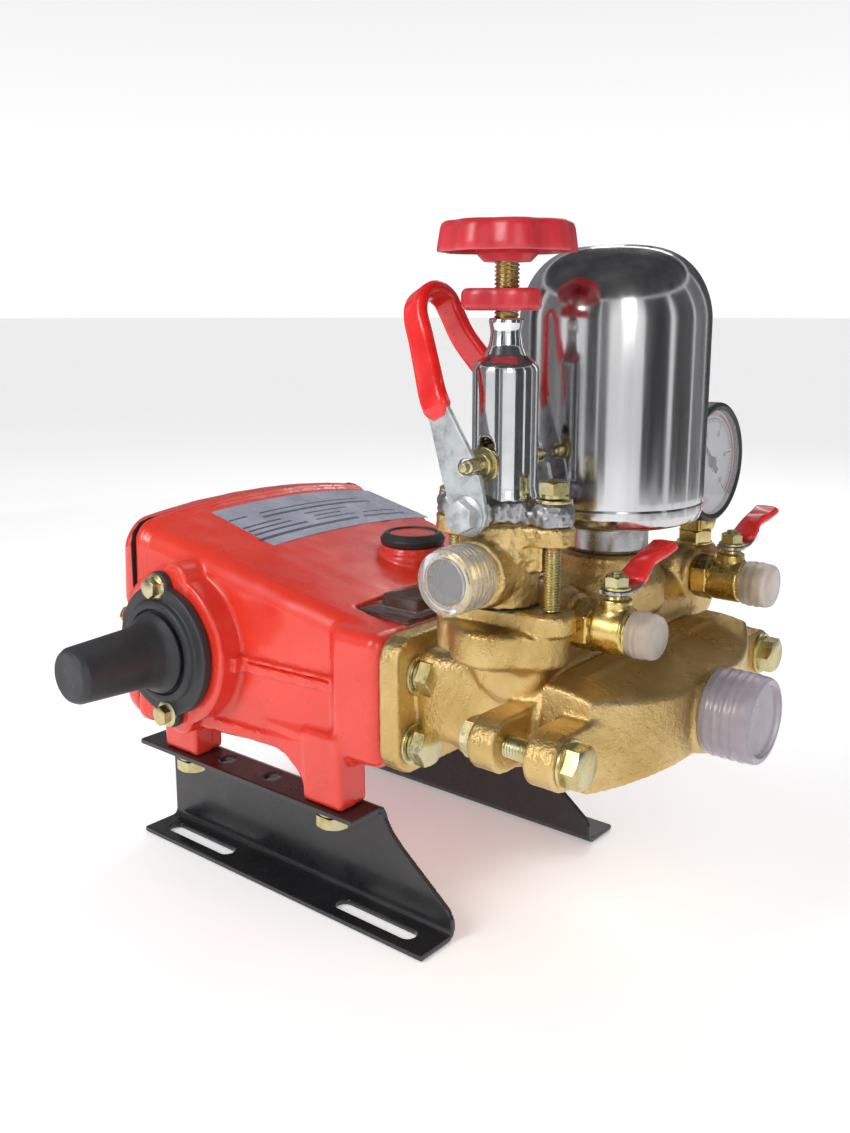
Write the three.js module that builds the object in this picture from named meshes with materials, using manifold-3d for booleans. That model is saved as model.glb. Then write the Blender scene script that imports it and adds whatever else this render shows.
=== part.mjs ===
// Belt-driven triplex plunger pump for pressure washing and spraying, in millimetres, +Z up.
// +X points along the plungers to the suction port, and the drive shaft leaves the crankcase on the -Y side.
// The design is laid out round the crankcase, and the whole group is then moved so that its origin lies on the
// ground under the middle of its bounding box.
import * as THREE from "three";
import { mergeVertices } from "three/addons/utils/BufferGeometryUtils.js";
import Module from "manifold-3d";

// ---------------------------------------------------------------- driving dimensions
const GAP = 0.3; // clearance left between two touching pieces
const FINE = 28; // sides of a large round
const ROUND = 20; // sides of a middling round
const SMALL = 14; // sides of a small round
const AXIS_Z = 129; // height of the crankshaft and of the three plungers
const CRANK_X = -62;
const THROW = 13; // crank radius: the stroke is twice this
const PITCH = 46; // spacing of the three cylinders
const CYLINDERS = [-PITCH, 0, PITCH];

const BRACKET = { rear: -110, front: 110, topFront: 63, webY: 64.6, lipY: 91.7, height: 60, sheet: 3 };
const FOOT_BOLT_X = [-76, 39.5];

const CASE = { rear: -100, front: 79, bottom: 76, rearTop: 196, frontTop: 160, wall: 6 };
const CASE_REAR_HALF = 98;
const CASE_FRONT_HALF = 86;
const REAR_COVER_THICKNESS = 13.5;
const BOSS_FACE = 103.2; // |y| of the machined faces that the bearing covers bolt to
const BEARING = { outer: 31, inner: 12.5, width: 15 };
const COVER_RADIUS = 36;
const COVER_LOBE = { x: 2.4, z: 36, radius: 8 }; // the two bolt lobes of a bearing cover lie opposite each other
const COVER_THICKNESS = 7;
const SHAFT_RADIUS = 12.5;
const SHAFT_END = -160;

const PIN_RADIUS = 12;
const BIG_END_RADIUS = 20;
const BIG_END_WIDTH = 18;
const WEB_RADIUS = 27;
const PLUNGER_RADIUS = 11;
const CROSSHEAD_RADIUS = 16;
const CROSSHEAD = { rear: 0, front: 38 };
const PLUNGER_TIP = 118;
const WRIST_X = 12;

const BLOCK_FLANGE = { rear: 79.4, front: 91.4, half: 88, low: 89, high: 159 };
const BLOCK = { front: 168, half: 82, low: 101, high: 158 };
const VALVE_X = 128;
const PACKING = { outer: 18, rear: 82, front: 106 };
const GALLERY = { x: 146, z: 160, radius: 22, half: 96 };
const MANIFOLD = { rear: 168.4, front: 212, half: 80, low: 108, high: 153 };
const LUG = { y: 98, radius: 12.5 };
const SUCTION_PORT = { end: 234, radius: 18, capEnd: 239, capRadius: 21 };

const REGULATOR = { x: 138.5, y: -68, pad: 172, seat: 183.3, top: 222, flangeTop: 232 };
const REGULATOR_BOLT_REACH = 26.5; // distance of the two long bolts from the regulator axis, along X
const COVER_TUBE = { radius: 14, bore: 11, shoulder: 291, top: 310 };
const OVERFLOW = { z: 200, start: -84, end: -108, radius: 13.5, capRadius: 15.5, capEnd: -115 };
const PIVOT_Z = 227; // lever pivot, level with the steel flange
const LIFT_PIN_Z = 248;
const LIFT = 5; // how far the lever raises the spring seat
const LEG_Y = 25; // distance of the inner face of each lever leg from the regulator axis
const SPINDLE_RADIUS = 5.5;
const SPINDLE = { low: 282, high: 349 };
const WHEEL = { low: 338, high: 351, radius: 30.5 };
const LOCK_NUT = { low: 313.5, high: 323, radius: 20 };

const GAUGE_BOSS_TOP = 186;
const CHAMBER = { x: 146, y: 12, radius: 46, low: 209, high: 344, neck: 20, collarLow: 196.3 };
const COCK_Y = [CHAMBER.y - 60, CHAMBER.y + 59];
const COCK = { z: 174, start: 168.3, stemX: 186, hexEnd: 178, bodyEnd: 190, threadEnd: 204, capEnd: 208.5 };
const GAUGE = { x: 166, y: 94, z: 232, radius: 32.5, depth: 24 };

// ---------------------------------------------------------------- solid modelling helpers
const wasm = await Module();
wasm.setup();

/** A closed geometry as a manifold-3d solid. */
function solid(geometry) {
  const bare = geometry.clone();
  bare.deleteAttribute("normal");
  bare.deleteAttribute("uv");
  const merged = mergeVertices(bare, 1e-4);
  const mesh = { numProp: 3, vertProperties: merged.attributes.position.array };
  return new wasm.Manifold(new wasm.Mesh({ ...mesh, triVerts: new Uint32Array(merged.index.array) }));
}

/** A manifold-3d solid as a geometry that three.js can draw. */
function geometryOf(manifold) {
  const mesh = manifold.getMesh();
  const geometry = new THREE.BufferGeometry();
  geometry.setAttribute("position", new THREE.BufferAttribute(mesh.vertProperties, 3));
  geometry.setIndex(new THREE.BufferAttribute(mesh.triVerts, 1));
  geometry.computeVertexNormals();
  return geometry;
}

const join = (first, ...others) => others.reduce((sum, other) => sum.add(other), first);
const cut = (first, ...others) => others.reduce((rest, other) => rest.subtract(other), first);

function block(x0, x1, y0, y1, z0, z1) {
  const box = new THREE.BoxGeometry(x1 - x0, y1 - y0, z1 - z0);
  return solid(box.translate((x0 + x1) / 2, (y0 + y1) / 2, (z0 + z1) / 2));
}

/** A cylinder from one height to another along X, Y or Z. The centre gives the two other coordinates in order. */
function rod(axis, centre, radius, from, to, sides = ROUND, endRadius = radius) {
  const made = new THREE.CylinderGeometry(endRadius, radius, Math.abs(to - from), sides);
  const middle = (from + to) / 2;
  if (axis === "x") {
    made.rotateZ(-Math.PI / 2);
    made.translate(middle, centre[0], centre[1]);
  } else if (axis === "y") {
    made.translate(centre[0], middle, centre[1]);
  } else {
    made.rotateX(Math.PI / 2);
    made.translate(centre[0], centre[1], middle);
  }
  return solid(made);
}

/** A body of revolution about +Z: the profile lists [radius, height] from the bottom of the axis to its top. */
function turned(profile, sides = FINE) {
  const points = profile.map(([radius, height]) => new THREE.Vector2(radius, height));
  return solid(new THREE.LatheGeometry(points, sides).rotateX(Math.PI / 2));
}

/** A flat outline in X and Y raised from one height to another. */
function plate(shape, z0, z1, curveSegments = 4) {
  const options = { depth: z1 - z0, bevelEnabled: false, curveSegments };
  return solid(new THREE.ExtrudeGeometry(shape, options).translate(0, 0, z0));
}

function roundedRectangle(x0, x1, y0, y1, radius) {
  const shape = new THREE.Shape();
  shape.moveTo(x0 + radius, y0);
  shape.lineTo(x1 - radius, y0);
  shape.absarc(x1 - radius, y0 + radius, radius, -Math.PI / 2, 0);
  shape.lineTo(x1, y1 - radius);
  shape.absarc(x1 - radius, y1 - radius, radius, 0, Math.PI / 2);
  shape.lineTo(x0 + radius, y1);
  shape.absarc(x0 + radius, y1 - radius, radius, Math.PI / 2, Math.PI);
  shape.lineTo(x0, y0 + radius);
  shape.absarc(x0 + radius, y0 + radius, radius, Math.PI, 1.5 * Math.PI);
  return shape;
}

/** A stadium outline: two half circles joined by straight sides. */
function stadium(x0, y0, x1, y1, radius) {
  const angle = Math.atan2(y1 - y0, x1 - x0);
  const shape = new THREE.Shape();
  shape.absarc(x0, y0, radius, angle + Math.PI / 2, angle + 1.5 * Math.PI);
  shape.absarc(x1, y1, radius, angle - Math.PI / 2, angle + Math.PI / 2);
  return shape;
}

/** Stands a solid made in X and Y up: its X stays, its Y becomes Z, and its Z becomes -Y. */
const upright = (made) => made.rotate([90, 0, 0]);

/** Turns a solid made in X and Y to face +X: its X becomes Y, its Y becomes Z, and its Z becomes X. */
const facingX = (made) => made.rotate([90, 0, 90]);

/** A solid through rounded rectangular sections at growing x: {x, half, low, high, radius}. */
function loft(sections) {
  const CORNER_STEPS = 3;
  const positions = [];
  for (const { x, half, low, high, radius } of sections) {
    const corners = [[half, high, 0], [-half, high, 1], [-half, low, 2], [half, low, 3]];
    for (const [y, z, quarter] of corners) {
      const centreY = y - Math.sign(y) * radius;
      const centreZ = z + (quarter < 2 ? -radius : radius);
      for (let step = 0; step <= CORNER_STEPS; step++) {
        const angle = ((quarter + step / CORNER_STEPS) * Math.PI) / 2;
        positions.push(x, centreY + radius * Math.cos(angle), centreZ + radius * Math.sin(angle));
      }
    }
  }
  const ring = 4 * (CORNER_STEPS + 1);
  const index = [];
  for (let section = 0; section + 1 < sections.length; section++) {
    for (let i = 0; i < ring; i++) {
      const a = section * ring + i;
      const b = section * ring + ((i + 1) % ring);
      index.push(a, b, a + ring, b, b + ring, a + ring);
    }
  }
  const last = (sections.length - 1) * ring;
  for (let i = 1; i + 1 < ring; i++) {
    index.push(0, i + 1, i, last, last + i, last + i + 1);
  }
  const made = new THREE.BufferGeometry();
  made.setAttribute("position", new THREE.Float32BufferAttribute(positions, 3));
  made.setIndex(index);
  return solid(made);
}

const mirrorY = (made) => made.mirror([0, 1, 0]);

// ---------------------------------------------------------------- materials and the scene graph
const paint = { color: 0xd8301f, roughness: 0.35, metalness: 0.1 };
const blackPaint = { color: 0x101113, roughness: 0.3, metalness: 0.2 };
const blackPlastic = { color: 0x1b1d20, roughness: 0.6, metalness: 0 };
const castBrass = { color: 0xc79a4a, roughness: 0.45, metalness: 0.9 };
const machinedBrass = { color: 0xcfa93c, roughness: 0.3, metalness: 1 };
const steel = { color: 0x9b9c9e, roughness: 0.35, metalness: 1 };
const chrome = { color: 0xd9dadc, roughness: 0.08, metalness: 1 };
const zinc = { color: 0xb9a86a, roughness: 0.4, metalness: 0.9 };
const redPlastic = { color: 0xcf2424, roughness: 0.4, metalness: 0 };
const clearPlastic = { color: 0xc9ccd8, roughness: 0.15, metalness: 0 };
const rubber = { color: 0x222222, roughness: 0.8, metalness: 0 };
const ceramic = { color: 0xe9e6dd, roughness: 0.25, metalness: 0 };

const pump = new THREE.Group();

/** Adds one named piece to a group, with a material of its own. */
function add(name, manifold, finish, parent = pump) {
  const mesh = new THREE.Mesh(geometryOf(manifold), new THREE.MeshStandardMaterial(finish));
  mesh.name = name;
  parent.add(mesh);
  return mesh;
}

/** A group whose children are modelled round a point of their own. */
function groupAt(x, y, z) {
  const group = new THREE.Group();
  group.position.set(x, y, z);
  pump.add(group);
  return group;
}

// ---------------------------------------------------------------- mounting brackets
/** The bracket on the -Y side: an upright web between an upper and a lower lip that both point outwards. */
function bracket() {
  const { rear, front, topFront, webY, lipY, height, sheet } = BRACKET;
  const SLOT = { radius: 4.8, y: -80, rear: [-94, -48], front: [47, 91] };
  const outline = new THREE.Shape();
  outline.moveTo(rear, 0);
  outline.lineTo(front, 0);
  outline.lineTo(front, 9);
  outline.quadraticCurveTo(front, 15, front - 7, 19);
  outline.lineTo(topFront + 12, 40);
  outline.quadraticCurveTo(topFront, 46, topFront, height);
  outline.lineTo(rear, height);
  const web = upright(plate(outline, webY, webY + sheet));
  const lower = plate(roundedRectangle(rear, front, -lipY, -webY, 3), 0, sheet);
  const upper = plate(roundedRectangle(rear, topFront, -lipY, -webY, 3), height - sheet, height);
  const slots = [SLOT.rear, SLOT.front].map(([from, to]) =>
    plate(stadium(from, SLOT.y, to, SLOT.y, SLOT.radius), -1, sheet + 1),
  );
  const holes = FOOT_BOLT_X.map((x) => rod("z", [x, -79], 4.5, height - sheet - 1, height + 1, SMALL));
  const spare = [-45, -8].map((x) => rod("z", [x, -79], 4.5, height - sheet - 1, height + 1, SMALL));
  return cut(join(web, lower, upper), ...slots, ...holes, ...spare);
}
add("bracket_near", bracket(), blackPaint);
add("bracket_far", mirrorY(bracket()), blackPaint);

// ---------------------------------------------------------------- crankcase
function crankcase() {
  const { rear, front, bottom, rearTop, frontTop, wall } = CASE;
  const BLOCK_REAR = 44; // the front flange block stands proud of the tapered body
  const body = loft([
    { x: rear, half: CASE_REAR_HALF, low: bottom, high: rearTop, radius: 14 },
    { x: BLOCK_REAR + 2, half: CASE_FRONT_HALF - 2, low: bottom + 8, high: frontTop - 1, radius: 8 },
  ]);
  const frontBlock = loft([
    { x: BLOCK_REAR, half: BLOCK_FLANGE.half, low: BLOCK_FLANGE.low, high: BLOCK_FLANGE.high, radius: 8 },
    { x: front, half: BLOCK_FLANGE.half, low: BLOCK_FLANGE.low, high: BLOCK_FLANGE.high, radius: 8 },
  ]);
  const feet = [];
  for (const [x0, x1] of [[-90, -62], [26, 53]]) {
    feet.push(block(x0, x1, -88, -68, BRACKET.height + GAP, bottom + 16));
    feet.push(block(x0, x1, 68, 88, BRACKET.height + GAP, bottom + 16));
  }
  const boss = rod("y", [CRANK_X, AXIS_Z], 41, -BOSS_FACE, BOSS_FACE, FINE);
  const fillerBoss = rod("z", [15, 15], 19, 160, 180, ROUND);
  const crankChamber = loft([
    { x: rear - 1, half: CASE_REAR_HALF - wall - 14, low: bottom + wall, high: rearTop - wall, radius: 10 },
    { x: -16, half: CASE_FRONT_HALF - wall - 6, low: bottom + wall + 4, high: 170, radius: 10 },
  ]);
  const bearingBore = rod("y", [CRANK_X, AXIS_Z], BEARING.outer + 0.2, -BOSS_FACE - 1, BOSS_FACE + 1, FINE);
  const guides = CYLINDERS.map((y) => rod("x", [y, AXIS_Z], CROSSHEAD_RADIUS + GAP, -20, front - 18, ROUND));
  const splashChamber = block(front - 24, front + 1, -70, 70, AXIS_Z - 26, AXIS_Z + 24);
  const splashOpening = block(46, 74, -58, 58, AXIS_Z + 10, frontTop + 4);
  const fillerHole = rod("z", [15, 15], 10, AXIS_Z + 10, 190, SMALL);
  const fillerWell = block(4, 26, 4, 26, AXIS_Z + 10, 158);
  const shell = join(body, frontBlock, ...feet, boss, fillerBoss);
  const coverSeat = block(42, 78.6, -64, 64, frontTop - 1.2, frontTop + 10);
  const behind = block(rear - 20, rear, -120, 120, 0, 300);
  const hollow = [crankChamber, bearingBore, ...guides, splashChamber, splashOpening, fillerHole, fillerWell];
  return cut(shell, ...hollow, coverSeat, behind);
}
add("crankcase", crankcase(), paint);

function rearCover() {
  const face = CASE.rear - 1.4;
  const size = { half: CASE_REAR_HALF, low: CASE.bottom, high: CASE.rearTop };
  const outer = loft([
    { x: face - REAR_COVER_THICKNESS, half: size.half - 3, low: size.low + 4, high: size.high - 3, radius: 13 },
    { x: face - REAR_COVER_THICKNESS + 3, half: size.half - 0.5, low: size.low + 2, high: size.high - 0.5, radius: 14 },
    { x: face, half: size.half, low: size.low, high: size.high, radius: 14 },
  ]);
  const inner = loft([
    { x: face - REAR_COVER_THICKNESS + 5, half: 80, low: size.low + 14, high: size.high - 14, radius: 10 },
    { x: face + 1, half: 80, low: size.low + 14, high: size.high - 14, radius: 10 },
  ]);
  return cut(outer, inner);
}
add("rear_cover", rearCover(), paint);

function rearGasket() {
  const x0 = CASE.rear - 1.4 + GAP;
  const x1 = CASE.rear - GAP;
  const ring = (inset, radius) => [
    { x: x0, half: CASE_REAR_HALF - inset, low: CASE.bottom + inset, high: CASE.rearTop - inset, radius },
    { x: x1, half: CASE_REAR_HALF - inset, low: CASE.bottom + inset, high: CASE.rearTop - inset, radius },
  ];
  const hole = ring(12, 8).map((section, i) => ({ ...section, x: section.x + (i ? 1 : -1) }));
  return cut(loft(ring(0.5, 13.5)), loft(hole));
}
add("rear_gasket", rearGasket(), rubber);

function oilFillerCap() {
  const profile = [[0, 0], [9.5, 0], [9.5, 20.3], [17.5, 20.3], [18, 27], [13, 27], [13, 25.5], [0, 25.5]];
  return turned(profile, ROUND);
}
add("oil_filler_cap", oilFillerCap(), blackPlastic, groupAt(15, 15, 160));

function splashCover() {
  const tray = plate(roundedRectangle(-18, 18, -63.6, 63.6, 4), 0, 2.5);
  const raised = plate(roundedRectangle(-12, 12, -52, 52, 3), 2, 6.5);
  const under = plate(roundedRectangle(-10, 10, -50, 50, 2), -1, 4.5);
  return cut(join(tray, raised), under);
}
add("splash_cover", splashCover(), clearPlastic, groupAt(60.3, 0, CASE.frontTop - 0.8));

// ---------------------------------------------------------------- bearings and their covers
function bearingCover(hasShaftHole) {
  const disc = rod("y", [0, 0], COVER_RADIUS, 0, COVER_THICKNESS, FINE);
  const hub = rod("y", [0, 0], 20, COVER_THICKNESS - 1, COVER_THICKNESS + 2, ROUND);
  const { x, z, radius } = COVER_LOBE;
  const lobes = [1, -1].map((side) => rod("y", [x * side, z * side], radius, 0, 6, SMALL));
  const whole = join(disc, hub, ...lobes);
  return hasShaftHole ? cut(whole, rod("y", [0, 0], SHAFT_RADIUS + 0.5, -1, 20, ROUND)) : whole;
}
const nearCoverGroup = groupAt(CRANK_X, -BOSS_FACE - GAP, AXIS_Z);
nearCoverGroup.rotation.x = Math.PI;
add("bearing_cover_near", bearingCover(true), blackPlastic, nearCoverGroup);
add("bearing_cover_far", bearingCover(false), blackPlastic, groupAt(CRANK_X, BOSS_FACE + GAP, AXIS_Z));

function mainBearing() {
  const outer = rod("y", [0, 0], BEARING.outer, -BEARING.width / 2, BEARING.width / 2, FINE);
  const inner = rod("y", [0, 0], BEARING.inner + GAP, -BEARING.width, BEARING.width, ROUND);
  return cut(outer, inner);
}
for (const [name, side] of [["main_bearing_near", -1], ["main_bearing_far", 1]]) {
  const y = side * (BOSS_FACE - GAP - BEARING.width / 2);
  add(name, mainBearing(), steel, groupAt(CRANK_X, y, AXIS_Z));
}

// ---------------------------------------------------------------- crankshaft, rods and plungers
/** The three throws are a third of a turn apart, and the first one points straight up. */
function throwCentre(number) {
  const angle = Math.PI / 2 + (number * 2 * Math.PI) / 3;
  return [THROW * Math.cos(angle), THROW * Math.sin(angle)];
}

const PIN_HALF = 10;
function crankshaft() {
  const WEB_END = PITCH + PIN_HALF + 10;
  const journal = rod("y", [0, 0], SHAFT_RADIUS, SHAFT_END, -WEB_END + 2, ROUND);
  const farJournal = rod("y", [0, 0], SHAFT_RADIUS, WEB_END - 2, BOSS_FACE - 2, ROUND);
  const keyway = block(-4, 4, SHAFT_END - 1, SHAFT_END + 34, SHAFT_RADIUS - 3.5, SHAFT_RADIUS + 2);
  const bounds = [-WEB_END, -PITCH - PIN_HALF, -PITCH + PIN_HALF, -PIN_HALF];
  const webs = [[bounds[0], bounds[1]], [bounds[2], bounds[3]]];
  const mirrored = webs.map(([from, to]) => [-to, -from]);
  const discs = [...webs, ...mirrored].map(([from, to]) => rod("y", [0, 0], WEB_RADIUS, from, to, FINE));
  const pins = CYLINDERS.map((y, i) => rod("y", throwCentre(i), PIN_RADIUS, y - PIN_HALF - 1, y + PIN_HALF + 1));
  return cut(join(journal, farJournal, ...discs, ...pins), keyway);
}
const crankGroup = groupAt(CRANK_X, 0, AXIS_Z);
add("crankshaft", crankshaft(), steel, crankGroup);

function bigEnd() {
  const half = BIG_END_WIDTH / 2;
  const ring = rod("y", [0, 0], BIG_END_RADIUS, -half, half, ROUND);
  return cut(ring, rod("y", [0, 0], PIN_RADIUS + GAP, -half - 1, half + 1, ROUND));
}

/** The shank and small end, cut back behind by the reach of the big end. */
function connectingRod() {
  const shankRear = CRANK_X + THROW + BIG_END_RADIUS + THROW + 1.5;
  const shank = block(shankRear, WRIST_X, -5, 5, -7, 7);
  const eye = rod("y", [WRIST_X, 0], 10.5, -7, 7, ROUND);
  return cut(join(shank, eye), rod("y", [WRIST_X, 0], 5.5 + GAP, -8, 8, SMALL));
}

/** The crosshead with its wrist pin, and the plunger that it drives. */
function plunger() {
  const crosshead = rod("x", [0, 0], CROSSHEAD_RADIUS, CROSSHEAD.rear, CROSSHEAD.front, ROUND);
  const slot = block(CROSSHEAD.rear - 1, WRIST_X + 12.5, -7 - GAP, 7 + GAP, -20, 20);
  const wristPin = rod("y", [WRIST_X, 0], 5.5, -12, 12, SMALL);
  const stem = rod("x", [0, 0], PLUNGER_RADIUS, CROSSHEAD.front - 1, PLUNGER_TIP, ROUND);
  return join(cut(crosshead, slot), wristPin, stem);
}

function packing() {
  const ring = rod("x", [0, 0], PACKING.outer - GAP, PACKING.rear, PACKING.front, ROUND);
  return cut(ring, rod("x", [0, 0], PLUNGER_RADIUS + GAP, PACKING.rear - 1, PACKING.front + 1, ROUND));
}

CYLINDERS.forEach((y, i) => {
  const [pinX, pinZ] = throwCentre(i);
  add(`big_end_${i + 1}`, bigEnd(), steel, groupAt(CRANK_X + pinX, y, AXIS_Z + pinZ));
  const line = groupAt(pinX, y, AXIS_Z); // each plunger stands where its own crank throw has driven it
  add(`connecting_rod_${i + 1}`, connectingRod(), steel, line);
  add(`plunger_${i + 1}`, plunger(), ceramic, line);
  add(`plunger_packing_${i + 1}`, packing(), rubber, groupAt(0, y, AXIS_Z));
});

function shaftCap() {
  const BASE = COVER_THICKNESS + 3;
  const TIP = 64.4;
  const BORE = SHAFT_RADIUS + GAP;
  const profile = [
    [BORE, BASE],
    [21, BASE],
    [21, BASE + 2],
    [17, BASE + 6],
    [14.6, TIP - 3],
    [12.5, TIP],
    [0, TIP],
    [0, TIP - 3.5],
    [BORE, TIP - 3.5],
    [BORE, BASE],
  ];
  return turned(profile, 32).rotate([90, 0, 0]);
}
add("shaft_cap", shaftCap(), blackPlastic, groupAt(CRANK_X, -BOSS_FACE, AXIS_Z));

// ---------------------------------------------------------------- valve block and suction manifold
const lugPlate = (x0, x1, side) =>
  facingX(plate(stadium(side * 70, AXIS_Z, side * LUG.y, AXIS_Z, LUG.radius), x0, x1, 8));

function valveBlock() {
  const f = BLOCK_FLANGE;
  const flange = facingX(plate(roundedRectangle(-f.half, f.half, f.low, f.high, 8), f.rear, f.front));
  const core = block(f.front - 1, BLOCK.front - 4, -BLOCK.half + 6, BLOCK.half - 6, BLOCK.low + 6, BLOCK.high);
  const barrels = CYLINDERS.map((y) => rod("x", [y, AXIS_Z], 27, f.front - 1, BLOCK.front, ROUND));
  const towers = CYLINDERS.map((y) => rod("z", [VALVE_X, y], 25, BLOCK.low, 176, ROUND));
  const gallery = rod("y", [GALLERY.x, GALLERY.z], GALLERY.radius, -GALLERY.half, GALLERY.half, ROUND);
  const lugs = [-1, 1].map((side) => lugPlate(150, BLOCK.front - 4, side));
  const chamberBoss = rod("z", [CHAMBER.x, CHAMBER.y], 25, GALLERY.z, CHAMBER.collarLow - GAP, ROUND);
  const pad = plate(regulatorOutline(10), REGULATOR.pad, REGULATOR.seat - GAP);
  const cockBosses = COCK_Y.map((y) => rod("x", [y, COCK.z], 12.5, 157.5, COCK.start - GAP, ROUND));
  const gaugeBoss = rod("z", [GAUGE.x - GAUGE.depth / 2, GAUGE.y], 11, GALLERY.z, GAUGE_BOSS_TOP, SMALL);
  const bosses = [chamberBoss, pad.translate(REGULATOR.x, REGULATOR.y, 0), ...cockBosses, gaugeBoss];
  const metal = join(flange, core, ...barrels, ...towers, gallery, ...lugs, ...bosses);
  const bores = CYLINDERS.flatMap((y) => [
    rod("x", [y, AXIS_Z], PLUNGER_RADIUS + 2, f.rear - 1, BLOCK.front - 14, SMALL),
    rod("x", [y, AXIS_Z], PACKING.outer, f.rear - 1, PACKING.front + GAP, ROUND),
    rod("x", [y, AXIS_Z], 15, BLOCK.front - 20, BLOCK.front + 1, ROUND),
    rod("z", [VALVE_X, y], 8, AXIS_Z, 152, SMALL),
    rod("z", [VALVE_X, y], 13, 150, 166, SMALL),
  ]);
  const galleryBore = rod("y", [GALLERY.x, GALLERY.z], 9, -72, GAUGE.y, SMALL);
  const outlets = [
    rod("z", [REGULATOR.x, REGULATOR.y], 7, GALLERY.z, REGULATOR.seat + 1, SMALL),
    rod("z", [CHAMBER.x, CHAMBER.y], 8, GALLERY.z, CHAMBER.collarLow + 1, SMALL),
    ...COCK_Y.map((y) => rod("x", [y, COCK.z - 6], 5, GALLERY.x, COCK.start + 1, SMALL)),
  ];
  return cut(metal, ...bores, galleryBore, ...outlets);
}

/** The outline of the regulator's flanges: two bolt lobes in line along X, centred on the regulator axis. */
const regulatorOutline = (lobe) => stadium(-REGULATOR_BOLT_REACH, 0, REGULATOR_BOLT_REACH, 0, lobe);
add("valve_block", valveBlock(), castBrass);

function suctionManifold() {
  const m = MANIFOLD;
  const outline = new THREE.Shape();
  outline.moveTo(m.rear, -m.half);
  outline.lineTo(m.rear + 22, -m.half);
  outline.quadraticCurveTo(m.front, -m.half + 8, m.front, -34);
  outline.lineTo(m.front, 34);
  outline.quadraticCurveTo(m.front, m.half - 8, m.rear + 22, m.half);
  outline.lineTo(m.rear, m.half);
  const body = plate(outline, m.low, m.high, 10);
  const lugs = [-1, 1].map((side) => lugPlate(m.rear + 10, m.rear + 26, side));
  const port = rod("x", [0, AXIS_Z], SUCTION_PORT.radius, m.front - 4, SUCTION_PORT.end, ROUND);
  const inlets = CYLINDERS.map((y) => rod("x", [y, AXIS_Z], 11, m.rear - 1, m.rear + 16, SMALL));
  const gallery = rod("y", [m.rear + 20, AXIS_Z], 13, -62, 62, ROUND);
  const throat = rod("x", [0, AXIS_Z], 12.5, m.rear + 20, SUCTION_PORT.end + 1, ROUND);
  return cut(join(body, ...lugs, port), ...inlets, gallery, throat);
}
add("suction_manifold", suctionManifold(), castBrass);

function suctionCap() {
  const r = SUCTION_PORT;
  const outer = rod("x", [0, 0], r.capRadius, MANIFOLD.front + 1, r.capEnd, FINE);
  return cut(outer, rod("x", [0, 0], r.radius + GAP, MANIFOLD.front, r.end + GAP, ROUND));
}
add("suction_cap", suctionCap(), clearPlastic, groupAt(0, 0, AXIS_Z));

/** A valve disc with a short guide stem, lying on its seat with room to lift. */
const valveDisc = () => join(rod("z", [0, 0], 10.5, 0, 3, SMALL), rod("z", [0, 0], 4, 2, 8, SMALL));
CYLINDERS.forEach((y, i) => {
  const suction = groupAt(BLOCK.front - 3, y, AXIS_Z);
  suction.rotation.y = -Math.PI / 2;
  add(`suction_valve_${i + 1}`, valveDisc(), steel, suction);
  add(`discharge_valve_${i + 1}`, valveDisc(), steel, groupAt(VALVE_X, y, 152 + GAP));
});

// ---------------------------------------------------------------- pressure regulator and unloader
const regulator = groupAt(REGULATOR.x, REGULATOR.y, 0);

function regulatorBody() {
  const r = REGULATOR;
  const flange = plate(regulatorOutline(9), r.top - 9, r.top - GAP);
  const barrel = rod("z", [0, 0], 16.5, r.seat, r.top - GAP, ROUND);
  const local = (y) => y - r.y;
  const port = rod("y", [0, OVERFLOW.z], OVERFLOW.radius, local(OVERFLOW.end), 0, ROUND);
  const bore = rod("z", [0, 0], 10, r.seat + 6, r.top + 1, ROUND);
  const inlet = rod("z", [0, 0], 6, r.seat - 1, r.top, SMALL);
  const overflow = rod("y", [0, OVERFLOW.z], 8, local(OVERFLOW.end) - 1, 0, SMALL);
  const bolts = boltPlaces().map((place) => rod("z", place, 4.4, r.top - 12, r.top + 1, SMALL));
  return cut(join(flange, barrel, port), bore, inlet, overflow, ...bolts);
}

const boltPlaces = () => [[-REGULATOR_BOLT_REACH, 0], [REGULATOR_BOLT_REACH, 0]];
add("regulator_body", regulatorBody(), castBrass, regulator);

function springCover() {
  const { radius, bore, shoulder, top } = COVER_TUBE;
  const r = REGULATOR;
  const flange = plate(regulatorOutline(9), r.top, r.flangeTop);
  const tube = rod("z", [0, 0], radius, r.top, shoulder, FINE);
  const flare = rod("z", [0, 0], radius - 4, shoulder - 0.5, shoulder + 5, FINE, 9.5);
  const neck = rod("z", [0, 0], 7.6, shoulder + 4, top, ROUND);
  const hollow = rod("z", [0, 0], bore, r.top - 1, shoulder - 4, ROUND);
  const spindleHole = rod("z", [0, 0], SPINDLE_RADIUS + 0.4, shoulder - 6, top + 1, ROUND);
  const ears = [-1, 1].map((side) => rod("y", [0, PIVOT_Z], 4.8, 0, side * (LEG_Y - GAP), SMALL));
  const pinSlot = block(-3.6, 3.6, -20, 20, LIFT_PIN_Z - 5, LIFT_PIN_Z + LIFT + 6);
  const bolts = boltPlaces().map((place) => rod("z", place, 4.4, r.top - 1, r.flangeTop + 1, SMALL));
  return cut(join(flange, ...ears, tube, flare, neck), hollow, spindleHole, pinSlot, ...bolts);
}
add("spring_cover", springCover(), chrome, regulator);

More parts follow.
